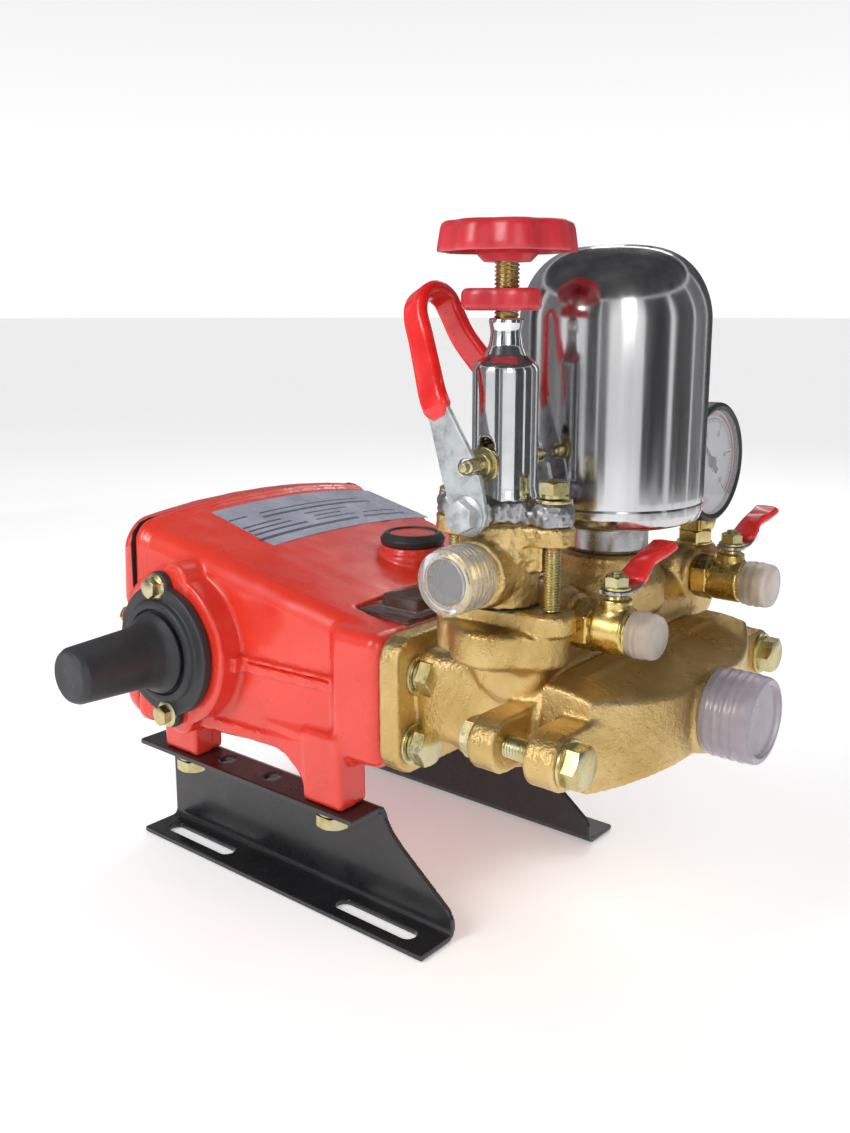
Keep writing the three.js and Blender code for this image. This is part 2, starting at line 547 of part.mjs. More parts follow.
function regulatorBolt() {
  const hex = rod("z", [0, 0], 7.5, REGULATOR.flangeTop + 2.3, REGULATOR.flangeTop + 8, 6);
  const washer = rod("z", [0, 0], 7.8, REGULATOR.flangeTop + GAP, REGULATOR.flangeTop + 2.5, SMALL);
  const shank = rod("z", [0, 0], 4, REGULATOR.seat, REGULATOR.flangeTop + 2, SMALL);
  return join(hex, washer, shank);
}
boltPlaces().forEach(([x, y], i) => {
  add(`regulator_bolt_${i + 1}`, regulatorBolt(), zinc, groupAt(REGULATOR.x + x, REGULATOR.y + y, 0));
});

/** The unloader valve with the yoke that carries the cross pin. */
function unloaderValve() {
  const profile = [[0, 190], [3, 190], [8.5, 196], [8.5, 208], [6, 212], [6, 240], [9.5, 242], [9.5, 256], [0, 256]];
  return cut(turned(profile, ROUND), rod("y", [0, LIFT_PIN_Z], 3.3, -20, 20, SMALL));
}
add("unloader_valve", unloaderValve(), steel, regulator);

const liftPin = () => rod("y", [0, LIFT_PIN_Z], 3, -30, 30, SMALL);
add("lift_pin", liftPin(), zinc, regulator);

const SPRING = { low: 256.5, high: 277, radius: 8.4, wire: 2.2, turns: 4 };
function regulatorSpring() {
  const rise = SPRING.high - SPRING.low - 2 * SPRING.wire / 2;
  const helix = new THREE.Curve();
  helix.getPoint = (t) => {
    const angle = t * SPRING.turns * 2 * Math.PI;
    const z = SPRING.low + SPRING.wire / 2 + t * rise;
    return new THREE.Vector3(SPRING.radius * Math.cos(angle), SPRING.radius * Math.sin(angle), z);
  };
  const wire = new THREE.Shape().absarc(0, 0, SPRING.wire / 2, 0, 2 * Math.PI);
  const options = { steps: SPRING.turns * 10, extrudePath: helix, curveSegments: 3, bevelEnabled: false };
  return solid(new THREE.ExtrudeGeometry(wire, options));
}
add("regulator_spring", regulatorSpring(), steel, regulator);

const springSeat = () => rod("z", [0, 0], 9.8, SPRING.high + 0.4, SPINDLE.low - GAP, ROUND);
add("spring_seat", springSeat(), steel, regulator);

const adjustingSpindle = () => rod("z", [0, 0], SPINDLE_RADIUS, SPINDLE.low, SPINDLE.high, SMALL);
add("adjusting_spindle", adjustingSpindle(), zinc, regulator);

/** A scalloped outline: lobes at a regular spacing round a circle. */
function lobedOutline(radius, depth, lobes, points) {
  const shape = new THREE.Shape();
  for (let i = 0; i < points; i++) {
    const angle = (i / points) * 2 * Math.PI;
    const reach = radius - depth * (0.5 - 0.5 * Math.cos(lobes * angle)) ** 2;
    const place = [reach * Math.cos(angle), reach * Math.sin(angle)];
    if (i) shape.lineTo(...place);
    else shape.moveTo(...place);
  }
  return shape;
}

function handwheel() {
  const { low, high, radius } = WHEEL;
  const rim = plate(lobedOutline(radius, 3.2, 8, 48), low, high, 1);
  const hollow = rod("z", [0, 0], 25, low - 1, high - 4, FINE);
  const hub = rod("z", [0, 0], 13.5, low - 4, high - 2, ROUND);
  return cut(join(cut(rim, hollow), hub), rod("z", [0, 0], SPINDLE_RADIUS + GAP, low - 5, SPINDLE.high + GAP, SMALL));
}
add("handwheel", handwheel(), redPlastic, regulator);

function lockNut() {
  const body = plate(lobedOutline(LOCK_NUT.radius, 7, 3, 36), LOCK_NUT.low, LOCK_NUT.high, 1);
  return cut(body, rod("z", [0, 0], SPINDLE_RADIUS + GAP, LOCK_NUT.low - 1, LOCK_NUT.high + 1, SMALL));
}
add("lock_nut", lockNut(), redPlastic, regulator);

// ---------------------------------------------------------------- unloader lever
// Two flat legs stand beside the regulator. Each has a notch that hooks over the cross pin, and a bent rod with a
// dipped grip runs up one leg, over the top and down the other.
const LEVER_SWING = 62; // degrees from upright to pulled down
const LEVER = { thickness: 2.5, rodRadius: 3, gripRadius: 6.5, pivotRadius: 9.5, headRadius: 7 };
const HALF_HOOP = [[-9, 26.2, 18], [-17, 26.2, 41], [-31, 17, 62], [-41, 13, 84], [-42, 8, 93]];

/** The outline of one leg, in X and Z round the pivot, less the notch that the pin travels in. */
function leverLeg() {
  const outline = new THREE.Shape();
  outline.moveTo(10, 0);
  outline.lineTo(6.7, 16.5);
  outline.lineTo(1.7, 27);
  outline.lineTo(-9.5, 44);
  outline.lineTo(-21, 39);
  outline.lineTo(-LEVER.pivotRadius, 0);
  outline.absarc(0, 0, LEVER.pivotRadius, Math.PI, 2 * Math.PI);
  const flat = plate(outline, 0, LEVER.thickness, 8);
  const path = [];
  for (let swing = -4; swing <= LEVER_SWING; swing += 6) {
    const angle = THREE.MathUtils.degToRad(swing);
    const reach = LIFT_PIN_Z - PIVOT_Z + (LIFT * Math.max(swing, 0)) / LEVER_SWING;
    const place = [reach * Math.sin(angle), reach * Math.cos(angle)];
    path.push(rod("z", place, 3.6, -1, LEVER.thickness + 1, SMALL));
  }
  return upright(cut(flat, ...path));
}

/** The bent rod, or the grip over its middle, as one tube from leg to leg. */
function leverHoop(radius, first, sides) {
  const left = HALF_HOOP.slice(first).map(([x, y, z]) => new THREE.Vector3(x, -y, z));
  const right = HALF_HOOP.slice(first).map(([x, y, z]) => new THREE.Vector3(x, y, z));
  const points = [...left, new THREE.Vector3(-42, 0, 95), ...right.reverse()];
  const path = new THREE.CatmullRomCurve3(points, false, "centripetal");
  const section = new THREE.Shape().absarc(0, 0, radius, 0, 2 * Math.PI);
  const options = { steps: 22, extrudePath: path, curveSegments: sides, bevelEnabled: false };
  return solid(new THREE.ExtrudeGeometry(section, options));
}

function leverStrap() {
  const { thickness, rodRadius, headRadius } = LEVER;
  const near = leverLeg().translate(0, -LEG_Y, 0);
  const far = leverLeg().translate(0, LEG_Y + thickness, 0);
  const heads = [-1, 1].map((side) => {
    return rod("y", [0, 0], headRadius, side * (LEG_Y + 1), side * (LEG_Y + thickness + 5), 6);
  });
  return join(near, far, leverHoop(rodRadius, 0, 3), ...heads);
}

function leverGrip() {
  const legs = [-1, 1].map((side) => {
    const middle = side * (LEG_Y + LEVER.thickness / 2);
    const half = LEVER.thickness / 2 + GAP;
    return block(-40, 20, middle - half, middle + half, -20, 44 + GAP);
  });
  return cut(leverHoop(LEVER.gripRadius, 1, 4), leverHoop(LEVER.rodRadius + GAP, 0, 3), ...legs);
}
const leverGroup = groupAt(REGULATOR.x, REGULATOR.y, PIVOT_Z);
add("lever_strap", leverStrap(), steel, leverGroup);
add("lever_grip", leverGrip(), redPlastic, leverGroup);

function overflowCap() {
  const local = (y) => y - REGULATOR.y;
  const outer = rod("y", [0, OVERFLOW.z], OVERFLOW.capRadius, local(OVERFLOW.capEnd), local(OVERFLOW.start - 6), FINE);
  const inner = rod("y", [0, OVERFLOW.z], OVERFLOW.radius + GAP, local(OVERFLOW.end) - GAP, 0, ROUND);
  return cut(outer, inner);
}
add("overflow_cap", overflowCap(), clearPlastic, regulator);

// ---------------------------------------------------------------- air chamber
function airChamber() {
  const { radius, low, high, neck, collarLow } = CHAMBER;
  const WALL = 2;
  const profile = [
    [8, collarLow],
    [neck, collarLow],
    [neck, low - 2],
    [neck - 3, low],
    [radius - 7, low + 1],
    [radius, low + 12],
    [radius, high - 30],
    [radius - 4, high - 16],
    [radius - 16, high - 5],
    [0, high],
    [0, high - WALL],
    [radius - 17, high - WALL - 5],
    [radius - 6, high - 18],
    [radius - WALL, high - 31],
    [radius - WALL, low + 13],
    [radius - 8, low + 4],
    [8, low + 4],
    [8, collarLow],
  ];
  return turned(profile, FINE);
}
add("air_chamber", airChamber(), chrome, groupAt(CHAMBER.x, CHAMBER.y, 0));

// ---------------------------------------------------------------- pressure gauge
const gauge = groupAt(GAUGE.x, GAUGE.y, GAUGE.z);
function gaugeCase() {
  const outer = rod("x", [0, 0], GAUGE.radius, -GAUGE.depth, 0, FINE);
  const dish = rod("x", [0, 0], GAUGE.radius - 3.5, -6, 1, FINE);
  return cut(outer, dish);
}
add("gauge_case", gaugeCase(), blackPlastic, gauge);

function gaugeNeedle() {
  const hub = rod("x", [0, 0], 3, -5.5, -3.2, SMALL);
  const pointer = block(-4.6, -4, -0.8, 0.8, -24, 8);
  return join(hub, pointer);
}
const needle = add("gauge_needle", gaugeNeedle(), blackPlastic, gauge);
needle.rotation.x = THREE.MathUtils.degToRad(-45);

/** The threaded stem under the gauge, with its spanner hexagon. */
function gaugeStem() {
  const stem = rod("z", [0, 0], 6, GAUGE_BOSS_TOP + GAP, GAUGE.z - GAUGE.radius - GAP, SMALL);
  return join(stem, rod("z", [0, 0], 8, 190, 197, 6));
}
add("gauge_stem", gaugeStem(), machinedBrass, groupAt(GAUGE.x - GAUGE.depth / 2, GAUGE.y, 0));

// ---------------------------------------------------------------- delivery cocks
function cockBody() {
  const { start, hexEnd, bodyEnd, threadEnd, stemX } = COCK;
  const hex = rod("x", [0, 0], 11, start, hexEnd, 6);
  const barrel = rod("x", [0, 0], 10.5, hexEnd - 1, bodyEnd + 4, ROUND);
  const thread = rod("x", [0, 0], 9.6, bodyEnd, threadEnd, ROUND);
  const housing = rod("z", [stemX, 0], 7, 0, 16, SMALL);
  const passage = rod("x", [0, 0], 5, start - 1, threadEnd + 1, SMALL);
  const ballSeat = solid(new THREE.SphereGeometry(8.6, 14, 8).translate(stemX, 0, 0));
  const stemHole = rod("z", [stemX, 0], 3.4, 0, 17, SMALL);
  return cut(join(hex, barrel, thread, housing), passage, ballSeat, stemHole);
}

function cockBall() {
  const ball = solid(new THREE.SphereGeometry(8.2, 14, 8));
  return cut(join(ball, rod("z", [0, 0], 3, 0, 24, SMALL)), rod("y", [0, 0], 4.5, -12, 12, SMALL));
}

function cockLever() {
  const washer = rod("z", [0, 0], 7, 17.2, 19, SMALL);
  const strap = block(-6, 6, 0, 14, 17.2, 19);
  const slope = new THREE.Shape();
  slope.moveTo(12, 17.2);
  slope.lineTo(24, 24);
  slope.lineTo(43, 29);
  slope.lineTo(43, 35);
  slope.lineTo(22, 30);
  slope.lineTo(12, 20.5);
  const grip = plate(slope, -6.5, 6.5).rotate([90, 0, 90]);
  const nut = rod("z", [0, 0], 6, 18.9, 25, 6);
  return cut(join(washer, strap, grip, nut), rod("z", [0, 0], 3 + GAP, 10, 24 + GAP, SMALL));
}

function cockCap() {
  const outer = rod("x", [0, 0], 11.5, COCK.bodyEnd + 4 + GAP, COCK.capEnd, ROUND);
  return cut(outer, rod("x", [0, 0], 9.6 + GAP, COCK.bodyEnd, COCK.threadEnd + GAP, ROUND));
}

COCK_Y.forEach((y, i) => {
  const line = groupAt(0, y, COCK.z);
  const stem = groupAt(COCK.stemX, y, COCK.z);
  add(`cock_body_${i + 1}`, cockBody(), machinedBrass, line);
  add(`cock_cap_${i + 1}`, cockCap(), clearPlastic, line);
  add(`cock_ball_${i + 1}`, cockBall(), chrome, stem);
  add(`cock_lever_${i + 1}`, cockLever(), redPlastic, stem);
});

// ---------------------------------------------------------------- origin under the middle of the box
const box = new THREE.Box3().setFromObject(pump);
const middle = box.getCenter(new THREE.Vector3());
pump.position.set(-middle.x, -middle.y, -box.min.z);

export default pump;
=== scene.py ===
"""The looks of a belt-driven triplex plunger pump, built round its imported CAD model.

Every length is in millimetres in the frame that the pump was designed in, and SHIFT moves it to the frame
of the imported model. Castings are signed distance fields turned into meshes, and turned parts are lathed
profiles.
"""

import math

import bpy
import numpy as np
from mathutils import Matrix, Vector


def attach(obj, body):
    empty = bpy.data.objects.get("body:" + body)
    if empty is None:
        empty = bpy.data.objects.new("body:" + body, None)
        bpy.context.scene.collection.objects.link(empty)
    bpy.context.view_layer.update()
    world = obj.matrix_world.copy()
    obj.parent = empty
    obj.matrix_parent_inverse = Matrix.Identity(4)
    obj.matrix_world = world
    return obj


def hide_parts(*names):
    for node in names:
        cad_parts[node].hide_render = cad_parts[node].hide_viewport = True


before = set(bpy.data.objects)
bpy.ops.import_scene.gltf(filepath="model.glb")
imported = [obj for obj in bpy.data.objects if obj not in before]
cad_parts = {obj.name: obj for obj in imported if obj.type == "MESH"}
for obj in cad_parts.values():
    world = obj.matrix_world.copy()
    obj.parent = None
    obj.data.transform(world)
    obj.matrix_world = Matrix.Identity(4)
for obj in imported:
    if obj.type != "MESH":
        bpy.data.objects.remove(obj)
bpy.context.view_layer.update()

MM = 0.001
SHIFT = np.array((-62.05, 20.55, 0.0))
AXIS_Z = 129.0
CRANK_X = -62.0
CYLINDERS = (-46.0, 0.0, 46.0)
REG_X, REG_Y = 138.5, -68.0
PIVOT_Z = 227.0
PIN_Z = 248.0
CHAMBER_X, CHAMBER_Y = 146.0, 12.0
COCKS = (-48.0, 71.0)
COCK_STEM_X, COCK_Z = 186.0, 174.0
GAUGE = (166.0, 94.0, 232.0)
BOSS_FACE = 103.2
COVER_LOBES = ((-2.4, 36.0), (2.4, -36.0))
STUD_REACH = 26.5  # how far the two regulator studs stand from the regulator's axis
OVERFLOW_Z = 200
SIDES = ((-1, "near"), (1, "far"))


# ---------------------------------------------------------------- signed distance fields
def rounded(dx, dy, r):
    """Distance to a corner whose two sides are dx and dy away, its edge rounded by r."""
    dx, dy = dx + r, dy + r
    return np.minimum(np.maximum(dx, dy), 0) + np.hypot(np.maximum(dx, 0), np.maximum(dy, 0)) - r


def swap(axis, x, y, z):
    """The two coordinates across an axis, and the one along it."""
    return {"x": (y, z, x), "y": (x, z, y), "z": (x, y, z)}[axis]


def between(w, w0, w1):
    return np.abs(w - (w0 + w1) / 2) - (w1 - w0) / 2


def slab(x0, x1, y0, y1, z0, z1, r=1.5):
    def field(x, y, z):
        q = [between(x, x0, x1) + r, between(y, y0, y1) + r, between(z, z0, z1) + r]
        out = np.sqrt(sum(np.maximum(part, 0) ** 2 for part in q))
        return out + np.minimum(np.maximum(np.maximum(q[0], q[1]), q[2]), 0) - r

    return field


def rod(axis, u0, v0, radius, w0, w1, r=1.0, end=None):
    """A cylinder along an axis, or a cone where end gives another radius at w1."""
    taper = 0.0 if end is None else (end - radius) / (w1 - w0)

    def field(x, y, z):
        u, v, w = swap(axis, x, y, z)
        side = np.hypot(u - u0, v - v0) - radius - taper * np.clip(w - w0, 0, w1 - w0)
        return rounded(side / math.hypot(1, taper), between(w, w0, w1), r)

    return field


def bar(axis, a, b, radius, w0, w1, r=1.0):
    """A stadium from a to b across an axis, raised from w0 to w1 along it."""

    def field(x, y, z):
        u, v, w = swap(axis, x, y, z)
        du, dv = b[0] - a[0], b[1] - a[1]
        t = np.clip(((u - a[0]) * du + (v - a[1]) * dv) / (du * du + dv * dv), 0, 1)
        side = np.hypot(u - a[0] - t * du, v - a[1] - t * dv) - radius
        return rounded(side, between(w, w0, w1), r)

    return field


def hexagon(axis, u0, v0, across, w0, w1, r=0.6):
    def field(x, y, z):
        u, v, w = swap(axis, x, y, z)
        turns = (0, math.pi / 3, 2 * math.pi / 3)
        flats = [np.abs((u - u0) * math.cos(t) + (v - v0) * math.sin(t)) for t in turns]
        side = np.maximum(np.maximum(flats[0], flats[1]), flats[2]) - across / 2
        return rounded(side, between(w, w0, w1), r)

    return field


def outline_distance(points, u, v):
    """Signed distance from (u, v) to a closed polygon, negative inside it."""
    nearest = np.full(np.shape(u), 1e9)
    inside = np.zeros(np.shape(u), bool)
    for (au, av), (bu, bv) in zip(points, points[1:] + points[:1]):
        eu, ev, wu, wv = bu - au, bv - av, u - au, v - av
        t = np.clip((wu * eu + wv * ev) / (eu * eu + ev * ev), 0, 1)
        nearest = np.minimum(nearest, (wu - eu * t) ** 2 + (wv - ev * t) ** 2)
        if ev:
            inside ^= ((av <= v) != (bv <= v)) & (u < au + (v - av) * eu / ev)
    return np.where(inside, -1.0, 1.0) * np.sqrt(nearest)


def sheet(axis, points, w0, w1, r=0.5):
    """A closed polygon across an axis, raised from w0 to w1 along it."""

    def field(x, y, z):
        u, v, w = swap(axis, x, y, z)
        return rounded(outline_distance(points, u, v), between(w, w0, w1), r)

    return field


def spun(u0, v0, profile):
    """A body turned about a vertical axis from a closed profile of (radius, height) points."""

    def field(x, y, z):
        return outline_distance(profile, np.hypot(x - u0, y - v0), z)

    return field


def soft_min(a, b, k):
    h = np.clip(0.5 + 0.5 * (b - a) / k, 0, 1)
    return b + (a - b) * h - k * h * (1 - h)


def blend(k, *fields):
    """The union of some fields, with a fillet of about k where they meet."""

    def field(x, y, z):
        total = fields[0](x, y, z)
        for other in fields[1:]:
            total = soft_min(total, other(x, y, z), k)
        return total

    return field


def cut(field, *others, k=0.6):
    """A field less some others, with the edges eased by k."""

    def rest(x, y, z):
        total = field(x, y, z)
        for other in others:
            total = -soft_min(-total, other(x, y, z), k)
        return total

    return rest


def surface(field, low, high, step):
    """The zero surface of a field inside a box, as vertices and quads, by naive surface nets."""
    axes = [np.arange(low[i] - 2 * step, high[i] + 2.5 * step, step) for i in range(3)]
    values = field(*np.meshgrid(*axes, indexing="ij"))
    cells = tuple(n - 1 for n in values.shape)
    points, flats, quads = [], [], []
    for a in range(3):
        b, c = (a + 1) % 3, (a + 2) % 3
        first = np.take(values, range(values.shape[a] - 1), axis=a)
        second = np.take(values, range(1, values.shape[a]), axis=a)
        edge = np.argwhere((first < 0) != (second < 0))
        inner = (edge[:, b] > 0) & (edge[:, c] > 0) & (edge[:, b] < cells[b]) & (edge[:, c] < cells[c])
        edge = edge[inner]
        v0, v1 = first[tuple(edge.T)], second[tuple(edge.T)]
        place = edge.astype(float)
        place[:, a] += v0 / (v0 - v1)
        ring = []
        for back_b, back_c in ((1, 1), (0, 1), (0, 0), (1, 0)):
            cell = edge.copy()
            cell[:, b] -= back_b
            cell[:, c] -= back_c
            ring.append(np.ravel_multi_index(cell.T, cells))
            points.append(place)
            flats.append(ring[-1])
        quad = np.stack(ring, 1)
        quad[v0 >= 0] = quad[v0 >= 0][:, ::-1]
        quads.append(quad)
    used, inverse = np.unique(np.concatenate(flats), return_inverse=True)
    count = np.bincount(inverse)
    places = np.concatenate(points)
    vertices = np.stack([np.bincount(inverse, places[:, i]) / count for i in range(3)], 1)
    vertices = vertices * step + np.array([axis[0] for axis in axes])
    return vertices, np.searchsorted(used, np.concatenate(quads))


def slope(field, p, reach=0.05):
    """The unit normals of a field at some points."""
    parts = []
    for i in range(3):
        offset = np.zeros(3)
        offset[i] = reach
        parts.append(field(*(p + offset).T) - field(*(p - offset).T))
    normal = np.stack(parts, 1)
    return normal / np.maximum(np.linalg.norm(normal, axis=1, keepdims=True), 1e-9)


def lumps(p, size, waves=10):
    """A smooth random height between about -1 and 1 whose bumps are about size across."""
    random = np.random.default_rng(7)
    directions = random.normal(size=(waves, 3))
    lengths = np.linalg.norm(directions, axis=1)
    directions *= (2 * math.pi / size / lengths * random.uniform(0.6, 1.4, waves))[:, None]
    phases = random.uniform(0, 2 * math.pi, waves)
    return np.sin(p @ directions.T + phases).sum(1) / math.sqrt(waves)


# ---------------------------------------------------------------- materials
def node(tree, kind, inputs=None, **settings):
    made = tree.nodes.new(kind)
    for key, value in settings.items():
        setattr(made, key, value)
    for key, value in (inputs or {}).items():
        if isinstance(value, bpy.types.NodeSocket):
            tree.links.new(value, made.inputs[key])
        else:
            made.inputs[key].default_value = value
    return made


def ramp(tree, fac, stops):
    made = node(tree, "ShaderNodeValToRGB", {"Fac": fac})
    elements = made.color_ramp.elements
    while len(elements) < len(stops):
        elements.new(0.5)
    for element, (position, colour) in zip(elements, stops):
        element.position = position
        element.color = (*colour, 1.0)
    return made.outputs["Color"]


def finish(name, colours, roughness, grain, mottle=25.0, stretch=(1, 1, 1), edge_wear_and_highlight=None, painted_hollow_shade=None, **fixed):
    """A procedural material. Its colour drifts through a list of colours, its roughness drifts between
    two values, and its bumps are a list of (bumps per metre, strength, distance in millimetres). The
    colour given for its outer edges is partly rubbed wear and partly a painted highlight, and the colour
    given for its hollows is painted shade. The rest are fixed values of the shader's own sockets."""
    material = bpy.data.materials.new(name)
    material.use_nodes = True
    tree = material.node_tree
    tree.nodes.clear()
    place = node(tree, "ShaderNodeTexCoord").outputs["Object"]
    if stretch != (1, 1, 1):
        place = node(tree, "ShaderNodeMapping", {"Vector": place, "Scale": stretch}).outputs["Vector"]
    broad = {"Vector": place, "Scale": mottle, "Detail": 6.0, "Roughness": 0.6}
    drift = node(tree, "ShaderNodeTexNoise", broad)
    stops = [(0.3 + 0.4 * i / (len(colours) - 1), colour) for i, colour in enumerate(colours)]
    colour = ramp(tree, drift.outputs["Fac"], stops)
    # Convex edges take the edge colour, which is partly rubbed wear and partly a painted highlight. Hollows
    # take a darker colour, which is painted shade.
    pointed = node(tree, "ShaderNodeNewGeometry").outputs["Pointiness"]
    for tint, edges in ((edge_wear_and_highlight, (0.53, 0.60)), (painted_hollow_shade, (0.47, 0.40))):
        if tint:
            span = {"Value": pointed, "From Min": edges[0], "From Max": edges[1]}
            share = node(tree, "ShaderNodeMapRange", span)
            factors = {0: share.outputs["Result"], 1: drift.outputs["Fac"]}
            broken = node(tree, "ShaderNodeMath", factors, operation="MULTIPLY")
            mix = node(tree, "ShaderNodeMix", {"Factor": broken.outputs["Value"]}, data_type="RGBA")
            tree.links.new(colour, mix.inputs[6])
            mix.inputs[7].default_value = (*tint, 1.0)
            colour = mix.outputs[2]
    patch = node(tree, "ShaderNodeTexNoise", {"Vector": place, "Scale": mottle * 3.7, "Detail": 4.0})
    reach = {"From Min": 0.3, "From Max": 0.7, "To Min": roughness[0], "To Max": roughness[1]}
    rough = node(tree, "ShaderNodeMapRange", {"Value": patch.outputs["Fac"], **reach})
    normal = None
    for scale, strength, distance in grain:
        fine = {"Vector": place, "Scale": scale, "Detail": 3.0, "Roughness": 0.6}
        bumps = node(tree, "ShaderNodeTexNoise", fine)
        inputs = {"Height": bumps.outputs["Fac"], "Strength": strength, "Distance": distance * MM}
        if normal:
            inputs["Normal"] = normal
        normal = node(tree, "ShaderNodeBump", inputs).outputs["Normal"]
    looks = {"Base Color": colour, "Roughness": rough.outputs["Result"]}
    shader = node(tree, "ShaderNodeBsdfPrincipled", looks)
    if normal:
        tree.links.new(normal, shader.inputs["Normal"])
    for key, value in fixed.items():
        shader.inputs[key.replace("_", " ")].default_value = value
    output = node(tree, "ShaderNodeOutputMaterial")
    tree.links.new(shader.outputs["BSDF"], output.inputs["Surface"])
    return material


# Red enamel: the lighter red on its outer edges is a painted highlight, and the dark red in its hollows is
# painted shade.
RED_PAINT = finish(
    "red_enamel", [(0.62, 0.028, 0.014), (0.72, 0.036, 0.018), (0.80, 0.048, 0.024)], (0.22, 0.36),
    [(260.0, 0.10, 0.5), (2200.0, 0.05, 0.1)], mottle=14.0, painted_hollow_shade=(0.30, 0.012, 0.008), edge_wear_and_highlight=(0.85, 0.12, 0.08),
    Coat_Weight=0.5, Coat_Roughness=0.12,
)
BLACK_PAINT = finish(
    "black_enamel", [(0.008, 0.008, 0.009), (0.014, 0.014, 0.016), (0.022, 0.022, 0.024)], (0.22, 0.38),
    [(420.0, 0.12, 0.3), (2600.0, 0.06, 0.1)], mottle=18.0, edge_wear_and_highlight=(0.06, 0.06, 0.065), Coat_Weight=0.3,
    Coat_Roughness=0.15,
)
BLACK_PLASTIC = finish(
    "black_moulding", [(0.018, 0.019, 0.021), (0.028, 0.029, 0.032), (0.040, 0.041, 0.045)], (0.42, 0.58),
    [(1800.0, 0.18, 0.15)], mottle=20.0, edge_wear_and_highlight=(0.09, 0.09, 0.10),
)
# Gold casting: the pale gold on its outer edges is a painted highlight, and the dark brown in its hollows is
# painted shade.
GOLD_CAST = finish(
    "gold_casting", [(0.50, 0.33, 0.11), (0.64, 0.45, 0.18), (0.76, 0.57, 0.27)], (0.24, 0.40),
    [(420.0, 0.42, 0.8), (950.0, 0.62, 0.55)], mottle=22.0, edge_wear_and_highlight=(0.97, 0.80, 0.48), painted_hollow_shade=(0.26, 0.14, 0.04),
    Metallic=0.95,
)
# Machined brass: the pale brass on its outer edges is a painted highlight, and the dark brown in its hollows is
# painted shade.
BRASS = finish(
    "machined_brass", [(0.52, 0.36, 0.10), (0.70, 0.52, 0.18), (0.80, 0.63, 0.27)], (0.20, 0.34),
    [(700.0, 0.10, 0.2)], mottle=60.0, edge_wear_and_highlight=(0.92, 0.78, 0.42), painted_hollow_shade=(0.22, 0.13, 0.04), Metallic=1.0,
)
# Machined steel: the darker colour in its hollows is painted shade.
STEEL = finish(
    "machined_steel", [(0.34, 0.34, 0.35), (0.50, 0.50, 0.51), (0.60, 0.60, 0.60)], (0.22, 0.40),
    [(900.0, 0.10, 0.2)], mottle=50.0, painted_hollow_shade=(0.10, 0.09, 0.08), Metallic=1.0,
)
CAST_STEEL = finish(
    "cast_steel", [(0.22, 0.22, 0.23), (0.36, 0.36, 0.37), (0.50, 0.50, 0.50)], (0.24, 0.42),
    [(420.0, 0.5, 0.8), (1300.0, 0.35, 0.3)], mottle=90.0, edge_wear_and_highlight=(0.75, 0.75, 0.75), Metallic=1.0,
)
# Chrome plate: the darker colour in its hollows is painted shade.
CHROME = finish(
    "chrome_plate", [(0.68, 0.69, 0.70), (0.78, 0.79, 0.80), (0.86, 0.87, 0.88)], (0.06, 0.13),
    [(240.0, 0.04, 0.3)], mottle=40.0, painted_hollow_shade=(0.15, 0.14, 0.13), Metallic=1.0,
)
STAINLESS = finish(
    "polished_stainless", [(0.50, 0.50, 0.51), (0.62, 0.62, 0.63), (0.70, 0.70, 0.70)], (0.09, 0.20),
    [(500.0, 0.05, 0.15)], mottle=60.0, stretch=(1, 1, 0.06), Metallic=1.0,
)
# Yellow zinc plating: the darker colour in its hollows is painted shade.
ZINC_YELLOW = finish(
    "zinc_yellow", [(0.42, 0.40, 0.20), (0.62, 0.52, 0.24), (0.60, 0.58, 0.36), (0.68, 0.50, 0.34)],
    (0.22, 0.38),
    [(900.0, 0.10, 0.2)], mottle=110.0, painted_hollow_shade=(0.14, 0.11, 0.05), Metallic=1.0,
)
ZINC_WHITE = finish(
    "zinc_white", [(0.26, 0.28, 0.29), (0.50, 0.53, 0.54), (0.60, 0.62, 0.63)], (0.34, 0.55),
    [(260.0, 0.12, 0.3), (1200.0, 0.10, 0.1)], mottle=130.0, edge_wear_and_highlight=(0.80, 0.80, 0.80), Metallic=0.7,
)
# Red moulding: the lighter red on its outer edges is a painted highlight, and the dark red in its hollows is
# painted shade.
RED_PLASTIC = finish(
    "red_moulding", [(0.44, 0.012, 0.022), (0.54, 0.016, 0.028), (0.62, 0.024, 0.036)], (0.26, 0.42),
    [(300.0, 0.12, 0.4), (1500.0, 0.08, 0.1)], mottle=45.0, edge_wear_and_highlight=(0.75, 0.16, 0.17), painted_hollow_shade=(0.2, 0.008, 0.01),
    Coat_Weight=0.25, Coat_Roughness=0.25,
)
# Red vinyl: the lighter red on its outer edges is a painted highlight.
RED_VINYL = finish(
    "red_vinyl", [(0.62, 0.010, 0.010), (0.74, 0.014, 0.014), (0.84, 0.030, 0.028)], (0.16, 0.30),
    [(170.0, 0.22, 0.9), (900.0, 0.06, 0.1)], mottle=40.0, edge_wear_and_highlight=(0.90, 0.10, 0.09), Subsurface_Weight=0.12,
    Subsurface_Scale=0.004, Coat_Weight=0.4, Coat_Roughness=0.08,
)
CLEAR = finish(
    "clear_cap", [(0.92, 0.92, 0.94), (0.95, 0.95, 0.97), (0.98, 0.98, 0.99)], (0.03, 0.08),
    [(220.0, 0.05, 0.3)], mottle=50.0, Transmission_Weight=0.88, IOR=1.42,
)
CLEAR_BLUE = finish(
    "clear_blue_cap", [(0.52, 0.47, 0.55), (0.64, 0.59, 0.66), (0.76, 0.71, 0.76)], (0.12, 0.26),
    [(220.0, 0.15, 0.5)], mottle=40.0, Transmission_Weight=0.62, IOR=1.42,
)
FROSTED = finish(
    "frosted_cap", [(0.78, 0.70, 0.66), (0.88, 0.82, 0.78), (0.94, 0.90, 0.88)], (0.30, 0.48),
    [(260.0, 0.20, 0.5)], mottle=60.0, Transmission_Weight=0.80, IOR=1.40,
)
